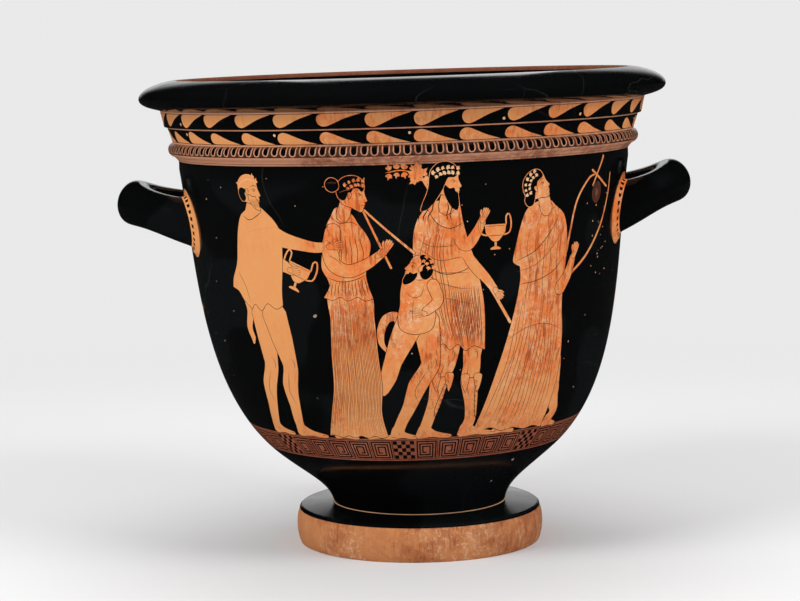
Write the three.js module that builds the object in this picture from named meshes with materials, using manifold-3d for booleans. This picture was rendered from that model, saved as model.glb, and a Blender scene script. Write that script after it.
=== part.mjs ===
// Attic bell krater: a wide bowl for mixing wine and water, thrown in clay and fired as one piece.
// It has an overhanging lip, a moulded neck, a bell-shaped body, a disc foot and two upturned loop
// handles. Millimetres, +Z up, standing on z = 0, with the handles along X and the front facing -Y.
import * as THREE from 'three';
import { mergeVertices } from 'three/addons/utils/BufferGeometryUtils.js';
import Module from 'manifold-3d';

// Heights above the standing surface
const FOOT_TOP = 30;
const STEM_BASE = 32.7;
const BODY_START = 77.2;
const BODY_END = 310;
const RING_BASE = 320.6;
const RING_TOP = 331.4;
const FASCIA_STEP = 343.6;
const LIP_BASE = 357.6;
const LIP_WIDEST = 366.6;
const CREST = 381;
const FLOOR = 48;

// Radii
const FOOT_RADIUS = 98.6;
const FOOT_HOLLOW = 82;
const STEM_RADIUS = 70.3;
const BODY_START_RADIUS = 113;
const BODY_END_RADIUS = 181.2;
const NECK_RADIUS = 184.6;
const FASCIA_FOOT_RADIUS = 185.4;
const STEP_INNER_RADIUS = 189.4;
const STEP_OUTER_RADIUS = 192;
const LIP_BASE_RADIUS = 195;
const LIP_RADIUS = 211.8;
const CREST_RADIUS = 183.5;
const MOUTH_RADIUS = 179;

// Clay thickness of the body wall, and the arch hollowed out under the foot
const WALL = 7;
const HOLLOW_HEIGHT = 34;

// Small steps between neighbouring mouldings
const FOOT_EDGE_BEVEL = 1.8;
const FOOT_GROUND_BEVEL = 0.6;
const NECK_HOLLOW_HEIGHT = 4;
const NECK_HOLLOW_DEPTH = 3.5;
const STEP_RISE = 0.8;
const CREST_DROP = 5;

// Control points (radius, height) of the curved parts of the outline
const HOLLOW_CURVE = [[36, HOLLOW_HEIGHT], [66, 28]];
const FOOT_SIDE_CURVE = [[101.5, 8], [101.5, 20]];
const STEM_CURVE = [[74.6, 49.8], [90.2, 57.7]];
const BODY_CURVE = [[172.5, 127.9], [169.9, 233.4]];
const RING_CURVE = [[190.8, 321.6], [190.8, 330.4]];
const LIP_UNDERSIDE_CURVE = [[203, 359.4], [211.6, 361.6]];
const LIP_TOP_CURVE = [[211.8, 374.6], [196, 379.5]];
const CREST_CURVE = [[181, 381.1], [179.2, 379.5]];
const FLOOR_CORNER = [22, 18.6];
const FLOOR_FLAT_RADIUS = 40;

// Handles: each is a rod bent into a loop that rises outwards, thins along its two arms and flares at
// its roots. They were shaped by hand, so the two differ a little.
const HANDLE_ROOT_REACH = 150;
const HANDLE_HALF_SPREAD = 49;
const HANDLE_HALF_WIDTH = 13.8;
const HANDLE_SPLAY = 0.15;
const HANDLE_FLARE = 4;
const HANDLE_WAIST = 2.5;
const RIGHT_HANDLE = {
  side: 1, tipReach: 217.5, rootHeight: 264, tipHeight: 288, rootHalfDepth: 19.5, tipHalfDepth: 17,
};
const LEFT_HANDLE = {
  side: -1, tipReach: 219, rootHeight: 263.5, tipHeight: 283.5, rootHalfDepth: 18.5, tipHalfDepth: 17.8,
};

// The pot sagged a little in the kiln: above the foot the body leans to -X and its turned circles tilt
const LEAN = 9.2;
const SIDE_TILT = 0.0165;
const BACK_TILT = 0.0085;

// Facets
const TURNS = 60;
const HANDLE_SIDES = 14;
const HANDLE_STEPS = 20;
const FOOT_STEPS = 5;
const STEM_STEPS = 6;
const BODY_STEPS = 10;
const RING_STEPS = 4;
const LIP_UNDERSIDE_STEPS = 4;
const LIP_TOP_STEPS = 6;
const CREST_STEPS = 3;
const INNER_STEPS = 8;
const FLOOR_STEPS = 4;

const wasm = await Module();
wasm.setup();

// ---- Outline of the turned body: radius and height, from the middle of the underside round to the floor

class Outline {
  constructor(radius, height) {
    this.points = [new THREE.Vector2(radius, height)];
  }

  line(radius, height) {
    this.points.push(new THREE.Vector2(radius, height));
    return this;
  }

  // A cubic curve from the last point to `end`, with the two control points between them
  curve(controls, end, steps) {
    const corners = [...controls, end].map(([radius, height]) => new THREE.Vector2(radius, height));
    const bezier = new THREE.CubicBezierCurve(this.points[this.points.length - 1], ...corners);
    for (let i = 1; i <= steps; i += 1) {
      this.points.push(bezier.getPoint(i / steps));
    }
    return this;
  }
}

function bodyWall() {
  const start = new THREE.Vector2(BODY_START_RADIUS, BODY_START);
  const controls = BODY_CURVE.map(([radius, height]) => new THREE.Vector2(radius, height));
  const end = new THREE.Vector2(BODY_END_RADIUS, BODY_END);
  return new THREE.CubicBezierCurve(start, ...controls, end);
}

// The inside of the body wall: its outside moved in by the clay's thickness, from the top down
function innerWallPoints(steps) {
  const outside = bodyWall();
  const points = [];
  for (let i = steps; i >= 0; i -= 1) {
    const along = outside.getTangent(i / steps);
    const inwards = new THREE.Vector2(-along.y, along.x).multiplyScalar(WALL);
    points.push(outside.getPoint(i / steps).add(inwards));
  }
  return points;
}

function kraterOutline() {
  const outline = new Outline(0, HOLLOW_HEIGHT);
  // Underside: an arched hollow inside the ring that the pot stands on
  outline.curve(HOLLOW_CURVE, [FOOT_HOLLOW, 0], FOOT_STEPS);
  outline.line(FOOT_RADIUS - FOOT_GROUND_BEVEL, 0);
  // Foot: a thick disc with a bulging side and a rounded upper edge
  outline.curve(FOOT_SIDE_CURVE, [FOOT_RADIUS, FOOT_TOP - FOOT_EDGE_BEVEL], FOOT_STEPS);
  outline.line(FOOT_RADIUS - FOOT_EDGE_BEVEL, FOOT_TOP);
  outline.line(STEM_RADIUS, STEM_BASE);
  // Stem, spreading into the body
  outline.curve(STEM_CURVE, [BODY_START_RADIUS, BODY_START], STEM_STEPS);
  outline.curve(BODY_CURVE, [BODY_END_RADIUS, BODY_END], BODY_STEPS);
  // Neck: a hollow curve, a half-round ring, then two plain bands, the upper one standing out
  outline.line(NECK_RADIUS - NECK_HOLLOW_DEPTH, RING_BASE - NECK_HOLLOW_HEIGHT);
  outline.line(NECK_RADIUS, RING_BASE);
  outline.curve(RING_CURVE, [FASCIA_FOOT_RADIUS, RING_TOP], RING_STEPS);
  outline.line(STEP_INNER_RADIUS, FASCIA_STEP);
  outline.line(STEP_OUTER_RADIUS, FASCIA_STEP + STEP_RISE);
  outline.line(LIP_BASE_RADIUS, LIP_BASE);
  // Lip: flat below, round at its edge, sloping up to the crest round the mouth
  outline.curve(LIP_UNDERSIDE_CURVE, [LIP_RADIUS, LIP_WIDEST], LIP_UNDERSIDE_STEPS);
  outline.curve(LIP_TOP_CURVE, [CREST_RADIUS, CREST], LIP_TOP_STEPS);
  outline.curve(CREST_CURVE, [MOUTH_RADIUS, CREST - CREST_DROP], CREST_STEPS);
  // Inside: down the neck and the body wall to a round floor
  const inside = innerWallPoints(INNER_STEPS);
  inside.forEach((point) => outline.line(point.x, point.y));
  const corner = inside[inside.length - 1];
  const turn = [corner.x - FLOOR_CORNER[0], corner.y - FLOOR_CORNER[1]];
  outline.curve([turn, [FLOOR_FLAT_RADIUS, FLOOR]], [0, FLOOR], FLOOR_STEPS);
  return outline.points;
}

// ---- Solids

function toSolid(geometry) {
  geometry.deleteAttribute('normal');
  geometry.deleteAttribute('uv');
  const merged = mergeVertices(geometry, 1e-4);
  const corners = merged.index.array;
  const triangles = [];
  for (let i = 0; i < corners.length; i += 3) {
    const [a, b, c] = corners.slice(i, i + 3);
    if (a !== b && b !== c && c !== a) {
      triangles.push(a, b, c);
    }
  }
  const vertProperties = new Float32Array(merged.attributes.position.array);
  const mesh = new wasm.Mesh({ numProp: 3, vertProperties, triVerts: new Uint32Array(triangles) });
  return new wasm.Manifold(mesh);
}

function bodySolid() {
  const geometry = new THREE.LatheGeometry(kraterOutline(), TURNS);
  geometry.rotateX(Math.PI / 2);
  return toSolid(geometry);
}

// Centre line and section of a loop towards +X, from t = 0 at one root to t = 1 at the other
function handleFrame(handle, t) {
  const angle = (t - 0.5) * Math.PI;
  const rise = handle.tipHeight - handle.rootHeight;
  const reach = handle.tipReach - HANDLE_ROOT_REACH;
  const outward = Math.cos(angle);
  const spread = Math.sin(angle);
  const slope = Math.atan2(rise, reach);
  const centre = new THREE.Vector3(
    HANDLE_ROOT_REACH + reach * outward,
    HANDLE_HALF_SPREAD * spread,
    handle.rootHeight + rise * outward,
  );
  const flare = Math.abs(spread) ** HANDLE_FLARE;
  const waist = HANDLE_WAIST * Math.sin(Math.PI * spread * spread);
  const depth = THREE.MathUtils.lerp(handle.tipHalfDepth, handle.rootHalfDepth, flare) - waist;
  const up = new THREE.Vector3(-Math.sin(slope), -HANDLE_SPLAY * spread, Math.cos(slope));
  const inPlane = new THREE.Vector3(
    outward * HANDLE_HALF_SPREAD * Math.cos(slope),
    spread * reach,
    outward * HANDLE_HALF_SPREAD * Math.sin(slope),
  ).normalize();
  return { centre, across: inPlane.multiplyScalar(HANDLE_HALF_WIDTH), up: up.multiplyScalar(depth) };
}

// A round bar with closed ends, bent along the loop and turned to its side of the pot
function handleSolid(handle) {
  const bar = [new THREE.Vector2(0, 0)];
  for (let i = 0; i <= HANDLE_STEPS; i += 1) {
    bar.push(new THREE.Vector2(1, i / HANDLE_STEPS));
  }
  bar.push(new THREE.Vector2(0, 1));
  const geometry = new THREE.LatheGeometry(bar, HANDLE_SIDES);
  const position = geometry.attributes.position;
  const vertex = new THREE.Vector3();
  for (let i = 0; i < position.count; i += 1) {
    vertex.fromBufferAttribute(position, i);
    const { centre, across, up } = handleFrame(handle, vertex.y);
    const bent = centre.addScaledVector(across, vertex.x).addScaledVector(up, vertex.z);
    position.setXYZ(i, handle.side * bent.x, handle.side * bent.y, bent.z);
  }
  return toSolid(geometry);
}

// What would lie inside the bowl, so that the handle roots end flush with the inner wall
function bowlSpace() {
  const inside = innerWallPoints(INNER_STEPS);
  const space = [new THREE.Vector2(0, inside[inside.length - 1].y)];
  inside.reverse().forEach((point) => space.push(point));
  space.push(new THREE.Vector2(0, inside[inside.length - 1].y));
  const geometry = new THREE.LatheGeometry(space, TURNS);
  geometry.rotateX(Math.PI / 2);
  return toSolid(geometry);
}

// The kiln sag: nothing moves in the foot, and the lean and tilt grow smoothly above it
function sag(geometry) {
  const position = geometry.attributes.position;
  for (let i = 0; i < position.count; i += 1) {
    const x = position.getX(i);
    const y = position.getY(i);
    const z = position.getZ(i);
    const rise = THREE.MathUtils.clamp((z - STEM_BASE) / (CREST - STEM_BASE), 0, 1);
    const tilt = THREE.MathUtils.smoothstep(z, FOOT_TOP, BODY_START);
    const lift = SIDE_TILT * tilt * x + BACK_TILT * rise * y;
    position.setXYZ(i, x - LEAN * Math.sin(rise * Math.PI / 2), y, z + lift);
  }
}

function kraterGeometry() {
  const bowl = bodySolid();
  const space = bowlSpace();
  const handles = handleSolid(RIGHT_HANDLE).add(handleSolid(LEFT_HANDLE)).subtract(space);
  const mesh = bowl.add(handles).getMesh();
  const geometry = new THREE.BufferGeometry();
  geometry.setAttribute('position', new THREE.BufferAttribute(mesh.vertProperties, 3));
  geometry.setIndex(new THREE.BufferAttribute(mesh.triVerts, 1));
  sag(geometry);
  geometry.computeVertexNormals();
  return geometry;
}

const glossedClay = new THREE.MeshStandardMaterial({ color: 0x1a1817, roughness: 0.25, metalness: 0 });

const krater = new THREE.Mesh(kraterGeometry(), glossedClay);
krater.name = 'krater';

// The lean moves the box's middle off the foot's, so the origin is set under the middle of the box
const box = new THREE.Box3().setFromObject(krater);
const middle = box.getCenter(new THREE.Vector3());
krater.geometry.translate(-middle.x, -middle.y, 0);

const model = new THREE.Group();
model.add(krater);

export default model;
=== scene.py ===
"""Looks of an Attic bell krater: one turned and handled vessel with its painted decoration."""
import math
import random

import bmesh
import bpy
import numpy as np
from mathutils import Matrix, Vector
from mathutils.geometry import delaunay_2d_cdt


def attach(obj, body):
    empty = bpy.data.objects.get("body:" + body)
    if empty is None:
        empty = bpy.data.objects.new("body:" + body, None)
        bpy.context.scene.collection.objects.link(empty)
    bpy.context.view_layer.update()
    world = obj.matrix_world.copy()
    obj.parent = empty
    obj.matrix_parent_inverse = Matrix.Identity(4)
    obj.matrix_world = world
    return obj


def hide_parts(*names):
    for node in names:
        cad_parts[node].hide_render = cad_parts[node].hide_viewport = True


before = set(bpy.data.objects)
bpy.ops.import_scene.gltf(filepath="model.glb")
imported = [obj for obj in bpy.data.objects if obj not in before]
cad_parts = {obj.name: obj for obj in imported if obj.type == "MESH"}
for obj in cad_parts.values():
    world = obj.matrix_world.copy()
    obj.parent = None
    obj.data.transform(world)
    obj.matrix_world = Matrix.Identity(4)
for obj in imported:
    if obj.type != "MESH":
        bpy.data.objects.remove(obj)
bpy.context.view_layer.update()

bl_info = {
    "name": "Painted Bell Krater",
    "version": (1, 0, 0),
    "blender": (4, 5, 0),
    "location": "View3D > Sidebar > Krater",
    "description": "Builds a red-figure bell krater and the stage it stands on",
    "category": "Object",
}

MM = 0.001
PI = math.pi

# Paints, in the order of the vessel's material slots
GLOSS, FIGURE, BAND, FOOT, THIN, WASH, PALE, KEY = range(8)

# Turned outline: marks of the profile, radius and height in mm before the pot sagged
FOOT_HOLLOW = (82, 0)
FOOT_EDGE = (98.6, 28.2)
STEM_BASE = (70.3, 32.7)
BODY_START = (113, 77.2)
BODY_END = (181.2, 310)
LIP_BASE = (195, 357.6)
LIP_EDGE = (211.8, 366.6)
CREST = (183.5, 381)
MOUTH = (179, 376)
FOOT_TOP = (98.7, 27.4)
INNER_CREST, INNER_LINE_END = (182.0, 380.9), (179.0, 377.5)
WALL = 7
FLOOR = 48
NECK_LEDGE = 343.6

# Unrolled wall: an angle times REF is its x, and COLUMNS is how many facets go round
REF = 180.0
TURN = PI * REF
COLUMNS = 240
SEAM_GAP = 0.8
NECK_HEIGHTS = (310, 313.5, 316.2, 317.4, 319.8, 332.4, 337.5, 351)

# Painted zones: heights in mm, and the counts of the patterns
PAINT_LOW = 84.0
MEANDER_LOW, MEANDER_HIGH = 87.6, 103.4
GROUND = 105.0
PLAIN_LOW = 316.9
RING_LOW, RING_HIGH = 320.6, 331.4
TONGUE_LOW = 323.4
LAUREL_PHASE = 0.225
LAUREL_MID = 344.0
LAUREL_HIGH = 356.2
MEANDER_CELLS, MEANDER_GROUP, CHEQUERS = 48, 6, 5
SPIRAL_GAP, SPIRAL_HALF = 2.15, 0.52
TONGUES = 150
LEAVES = 34
NICKS, NICKS_BY_HANDLE = 110, 22

# The mesh: rows of points on the body, points on painted edges, points worked on at a time, and the
# distances within which points are merged and slivers dissolved, in mm
BODY_ROWS = 30
LONG_EDGE, EDGE_STEP = 200, 5.0
CHUNK = 4000
MERGE, SLIVER = 2e-3, 1e-4

# Drawing: spacing of points on outlines and strokes, and the dark line round a shape, in mm
FINE, COARSE = 2.2, 3.0
EDGE_LINE = 0.42
FOLD_STEPS = 13
FINGERS, FINGER_SPREAD = 4, 0.05

# Kiln sag
LEAN = 9.2
SIDE_TILT = 0.0165
BACK_TILT = 0.0085

# Handles: mm
HANDLE_REACH = 150
HANDLE_SPREAD = 49
HANDLE_HALF_WIDTH = 13.8
HANDLE_SPLAY = 0.15
HANDLE_FLARE = 4
HANDLE_WAIST = 2.5
HANDLE_SIDES = 48
HANDLE_RINGS = 34
ROOT_FILLET = 6.0
FILLET_STEPS = (0.0, 0.3, 0.9, 1.8, 3.0, 4.4)
RESERVED_RINGS, DASH_RINGS = 4, (2, 3)
ROOT_RIM = 1.8
HANDLES = (
    {"side": 1, "tip": 217.5, "root_z": 264, "tip_z": 288, "root_depth": 19.5, "tip_depth": 17},
    {"side": -1, "tip": 219, "root_z": 263.5, "tip_z": 283.5, "root_depth": 18.5, "tip_depth": 17.8},
)

# Stage, in metres. Lamps: name, place, size, share of the main power, whether reflections show it
BUMP_DEPTH = 0.0004
FLOOR_RADIUS = 30.0
LAMPS = (
    ("lamp_left", (-1.7, -1.5, 2.1), 1.2, 1.0, False),
    ("lamp_right", (1.8, -1.3, 2.1), 1.2, 0.8, False),
    ("lamp_top", (0.0, 0.6, 2.6), 1.6, 0.5, False),
    ("lamp_rim", (0.0, 3.0, 1.5), 0.8, 0.05, True),
)
LAMP_AIM = Vector((0, 0, 0.2))
CAMERA_LENS = 102.195
CAMERA_TURNS = ((0.418, "Z"), (-6.138, "X"), (0.922, "Y"))


# ---- Turned outline

def bezier(p0, p1, p2, p3, steps=80):
    t = np.linspace(0, 1, steps + 1)[:, None]
    p0, p1, p2, p3 = (np.array(p, float) for p in (p0, p1, p2, p3))
    return (1 - t) ** 3 * p0 + 3 * (1 - t) ** 2 * t * p1 + 3 * (1 - t) * t * t * p2 + t ** 3 * p3


def line(p0, p1):
    return np.array([p0, p1], float)


def inner_wall():
    """The body wall's inside: its outside moved in by the clay's thickness, from the top down."""
    outside = bezier(BODY_START, (172.5, 127.9), (169.9, 233.4), BODY_END, 120)
    along = np.gradient(outside, axis=0)
    along /= np.linalg.norm(along, axis=1)[:, None]
    return (outside + np.stack([-along[:, 1], along[:, 0]], 1) * WALL)[::-1]


def turned_outline():
    inside = inner_wall()
    corner = inside[-1]
    parts = [
        bezier((0, 34), (36, 34), (66, 28), FOOT_HOLLOW),
        line(FOOT_HOLLOW, (98, 0)),
        bezier((98, 0), (101.5, 8), (101.5, 20), (98.9, 26.2)),
        line((98.9, 26.2), (98.3, 26.7)),
        line((98.3, 26.7), (98.6, 28.2)),
        line(FOOT_EDGE, (96.8, 30)),
        line((96.8, 30), STEM_BASE),
        bezier(STEM_BASE, (74.6, 49.8), (90.2, 57.7), BODY_START),
        bezier(BODY_START, (172.5, 127.9), (169.9, 233.4), BODY_END, 200),
        line(BODY_END, (181.1, 316.6)),
        line((181.1, 316.6), (184.6, RING_LOW)),
        bezier((184.6, RING_LOW), (190.8, 321.6), (190.8, 330.4), (185.4, RING_HIGH), 40),
        line((185.4, RING_HIGH), (189.4, NECK_LEDGE)),
        line((189.4, NECK_LEDGE), (192, 344.4)),
        line((192, 344.4), LIP_BASE),
        bezier(LIP_BASE, (203, 359.4), (211.6, 361.6), LIP_EDGE),
        bezier(LIP_EDGE, (211.8, 374.6), (196, 379.5), CREST),
        bezier(CREST, (181, 381.1), (179.2, 379.5), MOUTH),
        line(MOUTH, inside[0]),
        inside,
        bezier(corner, corner - (22, 18.6), (40, FLOOR), (0, FLOOR)),
    ]
    path = np.vstack(parts)
    keep = np.r_[True, np.linalg.norm(np.diff(path, axis=0), axis=1) > 1e-6]
    return path[keep]


class Outline:
    """The turned profile by the length along it, with its small edges softened."""

    def __init__(self):
        raw = turned_outline()
        length = np.r_[0, np.cumsum(np.linalg.norm(np.diff(raw, axis=0), axis=1))]
        self.s = np.linspace(0, length[-1], int(length[-1] / 0.3))
        even = np.stack([np.interp(self.s, length, raw[:, k]) for k in (0, 1)], 1)
        soft = even.copy()
        for _ in range(3):
            soft[1:-1] = 0.25 * soft[:-2] + 0.5 * soft[1:-1] + 0.25 * soft[2:]
        self.points = soft
        along = np.gradient(soft, axis=0)
        along /= np.linalg.norm(along, axis=1)[:, None]
        self.normals = np.stack([along[:, 1], -along[:, 0]], 1)
        self.top = int(np.argmax(soft[:, 1]))
        self.wall_from = self.mark(STEM_BASE)

    def mark(self, point):
        """Length along the profile nearest to a (radius, height)."""
        return self.s[int(np.argmin(np.linalg.norm(self.points - np.array(point), axis=1)))]

    def at(self, s):
        return tuple(np.interp(s, self.s, self.points[:, k]) for k in (0, 1))

    def s_at(self, z):
        """Length along the outer wall, from the stem up to the lip, at a height."""
        first = int(self.wall_from / self.s[-1] * (len(self.s) - 1))
        span = slice(first, self.top)
        return np.interp(z, self.points[span, 1], self.s[span])

    def radius(self, z):
        return np.interp(self.s_at(z), self.s, self.points[:, 0])


OUTLINE = Outline()


def sag(points):
    """Kiln sag: nothing moves in the foot, and the lean and tilt grow above it. Points in mm."""
    x, y, z = points[:, 0], points[:, 1], points[:, 2]
    rise = np.clip((z - STEM_BASE[1]) / (CREST[1] - STEM_BASE[1]), 0, 1)
    part = np.clip((z - 30) / (BODY_START[1] - 30), 0, 1)
    tilt = part * part * (3 - 2 * part)
    lift = SIDE_TILT * tilt * x + BACK_TILT * rise * y
    return np.stack([x - LEAN * np.sin(rise * PI / 2), y, z + lift], 1)


def sagged_normals(points, normals):
    """Surface normals after the sag, from how the sag moves points a little way off."""
    step = 0.05
    columns = [(sag(points + np.eye(3)[k] * step) - sag(points - np.eye(3)[k] * step)) / (2 * step)
               for k in range(3)]
    jacobian = np.stack(columns, 2)
    turned = np.einsum("nij,nj->ni", np.linalg.inv(jacobian).transpose(0, 2, 1), normals)
    return turned / np.linalg.norm(turned, axis=1)[:, None]


# ---- Drawing on the wall. A wall point is (x, s): x is the angle from the front times REF, s the length
# along the outline. A figure is drawn in (across, height) mm about its own upright axis.

def spline(points, closed=False, spacing=FINE):
    """A smooth line through points. A point given with a third value of 0 is a corner."""
    corners = [len(p) > 2 and p[2] == 0 for p in points]
    pts = np.array([p[:2] for p in points], float)
    count = len(pts)
    out = []
    spans = count if closed else count - 1
    for i in range(spans):
        a, b = pts[i], pts[(i + 1) % count]
        before = pts[(i - 1) % count] if closed or i > 0 else a - (b - a)
        after = pts[(i + 2) % count] if closed or i + 2 < count else b + (b - a)
        reach = np.linalg.norm(b - a)
        start = (b - before) * 0.5
        end = (after - a) * 0.5
        if corners[i]:
            start = (b - a) * 0.6
        if corners[(i + 1) % count]:
            end = (b - a) * 0.6
        start *= min(1.0, reach / max(np.linalg.norm(start), 1e-6))
        end *= min(1.0, reach / max(np.linalg.norm(end), 1e-6))
        steps = max(1, int(math.ceil(reach / spacing)))
        for k in range(steps):
            t = k / steps
            t2, t3 = t * t, t * t * t
            out.append((2 * t3 - 3 * t2 + 1) * a + (t3 - 2 * t2 + t) * start
                       + (3 * t2 - 2 * t3) * b + (t3 - t2) * end)
    if not closed:
        out.append(pts[-1])
    return np.array(out)


def side_steps(path, closed=False):
    """Unit vectors to the left of a path at each of its points."""
    if closed:
        along = np.roll(path, -1, 0) - np.roll(path, 1, 0)
    else:
        along = np.gradient(path, axis=0)
    size = np.linalg.norm(along, axis=1)[:, None]
    along = along / np.maximum(size, 1e-9)
    return np.stack([-along[:, 1], along[:, 0]], 1)


def ribbon(path, half):
    """A band about a path, as a closed outline, with a half width for each point."""
    off = side_steps(path) * half[:, None]
    return np.vstack([path + off, (path - off)[::-1]])


def even_points(points, count):
    """Points at equal steps along a smooth line."""
    path = spline(points, spacing=6)
    t, own = np.linspace(0, 1, count), np.linspace(0, 1, len(path))
    return np.stack([np.interp(t, own, path[:, k]) for k in (0, 1)], 1)


def taper(count, width):
    """Half widths of a brush stroke that starts and ends fine."""
    t = np.linspace(0, 1, count)
    return 0.5 * width * (0.25 + 0.75 * np.minimum(1, np.minimum(t, 1 - t) * 5))


def bar(points, spacing):
    """A limb: a smooth centre line of (across, height, half width) with round ends."""
    centre = spline([p[:2] for p in points], spacing=spacing)
    given = np.array([p[2] for p in points], float)
    pts = np.array([p[:2] for p in points], float)
    at = np.r_[0, np.cumsum(np.linalg.norm(np.diff(pts, axis=0), axis=1))]
    run = np.r_[0, np.cumsum(np.linalg.norm(np.diff(centre, axis=0), axis=1))]
    half = np.interp(run / run[-1], at / at[-1], given)
    left = side_steps(centre)
    first = centre + left * half[:, None]
    second = centre - left * half[:, None]
    cap = []
    for middle, edge, radius in ((centre[-1], left[-1], half[-1]), (centre[0], -left[0], half[0])):
        forward = np.array([edge[1], -edge[0]])
        cap.append([middle + radius * (edge * math.cos(a) + forward * math.sin(a))
                    for a in (PI * 0.25, PI * 0.5, PI * 0.75)])
    return np.vstack([first, cap[0], second[::-1], cap[1]])


def grown(outline, by):
    """A closed outline moved outwards by a distance."""
    x, y = outline[:, 0], outline[:, 1]
    turn = np.sum(x * np.roll(y, -1) - np.roll(x, -1) * y)
    return outline - side_steps(outline, closed=True) * by * (1 if turn > 0 else -1)


def rectangle(x0, x1, z0, z1):
    return [(x0, z0), (x1, z0), (x1, z1), (x0, z1)]


def round_arc(x, z, radius, angles):
    return [(x + radius * math.cos(a), z + radius * math.sin(a)) for a in angles]


class Painting:
    """Shapes on the unrolled wall, laid over each other in the order they were painted."""

    def __init__(self):
        self.shapes = []

    def add(self, paint, outline):
        self.shapes.append((paint, np.asarray(outline, float)))

    def strip(self, paint, x0, x1, z0, z1):
        s0, s1 = OUTLINE.s_at(z0), OUTLINE.s_at(z1)
        self.add(paint, rectangle(x0, x1, s0, s1))

    def band_shape(self, paint, outline):
        """A shape of an ornament band, drawn in (x, height)."""
        outline = np.asarray(outline, float)
        self.add(paint, np.stack([outline[:, 0], OUTLINE.s_at(outline[:, 1])], 1))


class Brush:
    """Draws one figure about an upright axis at an angle round the wall."""

    def __init__(self, painting, angle, seed, facing=1, scale=1.0):
        self.painting = painting
        self.angle = angle
        self.facing = facing
        self.scale = scale
        self.random = random.Random(seed)
        self.stack = []

    def place(self, outline):
        across = outline[:, 0] * self.facing * self.scale
        height = GROUND + (outline[:, 1] - GROUND) * self.scale
        return np.stack([REF * (self.angle + across / OUTLINE.radius(height)), OUTLINE.s_at(height)], 1)

    def move(self, points):
        """Points given in the current turned and scaled frame, such as a head's."""
        for origin, size, turn in reversed(self.stack):
            c, s = math.cos(turn) * size, math.sin(turn) * size
            points = points @ np.array([[c, s], [-s, c]]) + np.array(origin)
        return points

    def step(self, spacing):
        """A spacing in mm, in the units of the current frame."""
        return spacing / (self.stack[-1][1] if self.stack else 1.0)

    def lay(self, outline, paint, edge):
        outline = self.move(np.asarray(outline, float))
        if edge:
            self.painting.add(GLOSS, self.place(grown(outline, edge)))
        self.painting.add(paint, self.place(outline))

    def area(self, points, paint=FIGURE, edge=EDGE_LINE, spacing=FINE):
        self.lay(spline(points, closed=True, spacing=self.step(spacing)), paint, edge)

    def limb(self, points, edge=EDGE_LINE):
        self.lay(bar(points, spacing=self.step(FINE)), FIGURE, edge)

    def stroke(self, points, width=0.5, paint=GLOSS, wobble=0.0):
        path = self.move(spline(points, spacing=self.step(COARSE)))
        if wobble:
            shift = self.random.uniform(-wobble, wobble)
            path = path + side_steps(path) * shift * np.sin(np.linspace(0, PI * 3, len(path)))[:, None]
        if len(path) < 3:
            path = np.array([path[0], (path[0] + path[-1]) / 2, path[-1]])
        self.painting.add(paint, self.place(ribbon(path, taper(len(path), width))))

    def folds(self, left, right, shares, width=0.5, paint=GLOSS, start=0.0, end=1.0, wobble=0.5):
        """Fold lines between two edges of a garment, each at a share of the way across."""
        a, b = even_points(left, FOLD_STEPS + 1), even_points(right, FOLD_STEPS + 1)
        for share in shares:
            first = int(round(FOLD_STEPS * (start + self.random.uniform(0, 0.05))))
            first = max(0, min(FOLD_STEPS - 2, first))
            last = max(first + 2, int(round(FOLD_STEPS * (end - self.random.uniform(0, 0.05)))))
            self.stroke((a + (b - a) * share)[first:last + 1], width, paint, wobble)


# ---- Ornament bands

def chequered_square(painting, centre, cell, spread):
    side = (MEANDER_HIGH - MEANDER_LOW) / CHEQUERS
    wide = (cell - 1.2 * spread) / CHEQUERS
    for row in range(CHEQUERS):
        for column in range(CHEQUERS):
            if (row + column) % 2 == 0:
                left = centre - wide * 2.5 + column * wide
                low = MEANDER_LOW + row * side
                painting.band_shape(GLOSS, rectangle(left, left + wide, low, low + side))


def square_spiral(painting, centre, cell, spread, hand):
    """One brush line from the outer corner inwards, as a bar for each of its straight stretches."""
    facing = 1 if hand.random() < 0.5 else -1
    middle = (MEANDER_LOW + MEANDER_HIGH) / 2
    half_w, half_h = cell / 2 - 1.5 * spread, (MEANDER_HIGH - MEANDER_LOW) / 2 - 0.9
    path = [(-half_w, -half_h)]
    for lap in range(3):
        aside, inset = lap * SPIRAL_GAP * spread, lap * SPIRAL_GAP
        if lap:
            path.append((-half_w + aside, path[-1][1]))
        path += [(-half_w + aside, half_h - inset), (half_w - aside, half_h - inset),
                 (half_w - aside, -half_h + inset + 0.1)]
    path.append((0, path[-1][1]))
    for (ax, az), (bx, bz) in zip(path[:-1], path[1:]):
        wide = SPIRAL_HALF * spread
        jitter = hand.uniform(-0.12, 0.12)
        if ax == bx:
            low, high = sorted((az, bz))
            box = rectangle(ax - wide, ax + wide, low - SPIRAL_HALF, high + SPIRAL_HALF)
        else:
            low, high = sorted((ax, bx))
            box = rectangle(low, high, az - SPIRAL_HALF, az + SPIRAL_HALF)
        painting.band_shape(GLOSS, [(centre + facing * x + jitter, middle + z) for x, z in box])


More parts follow.
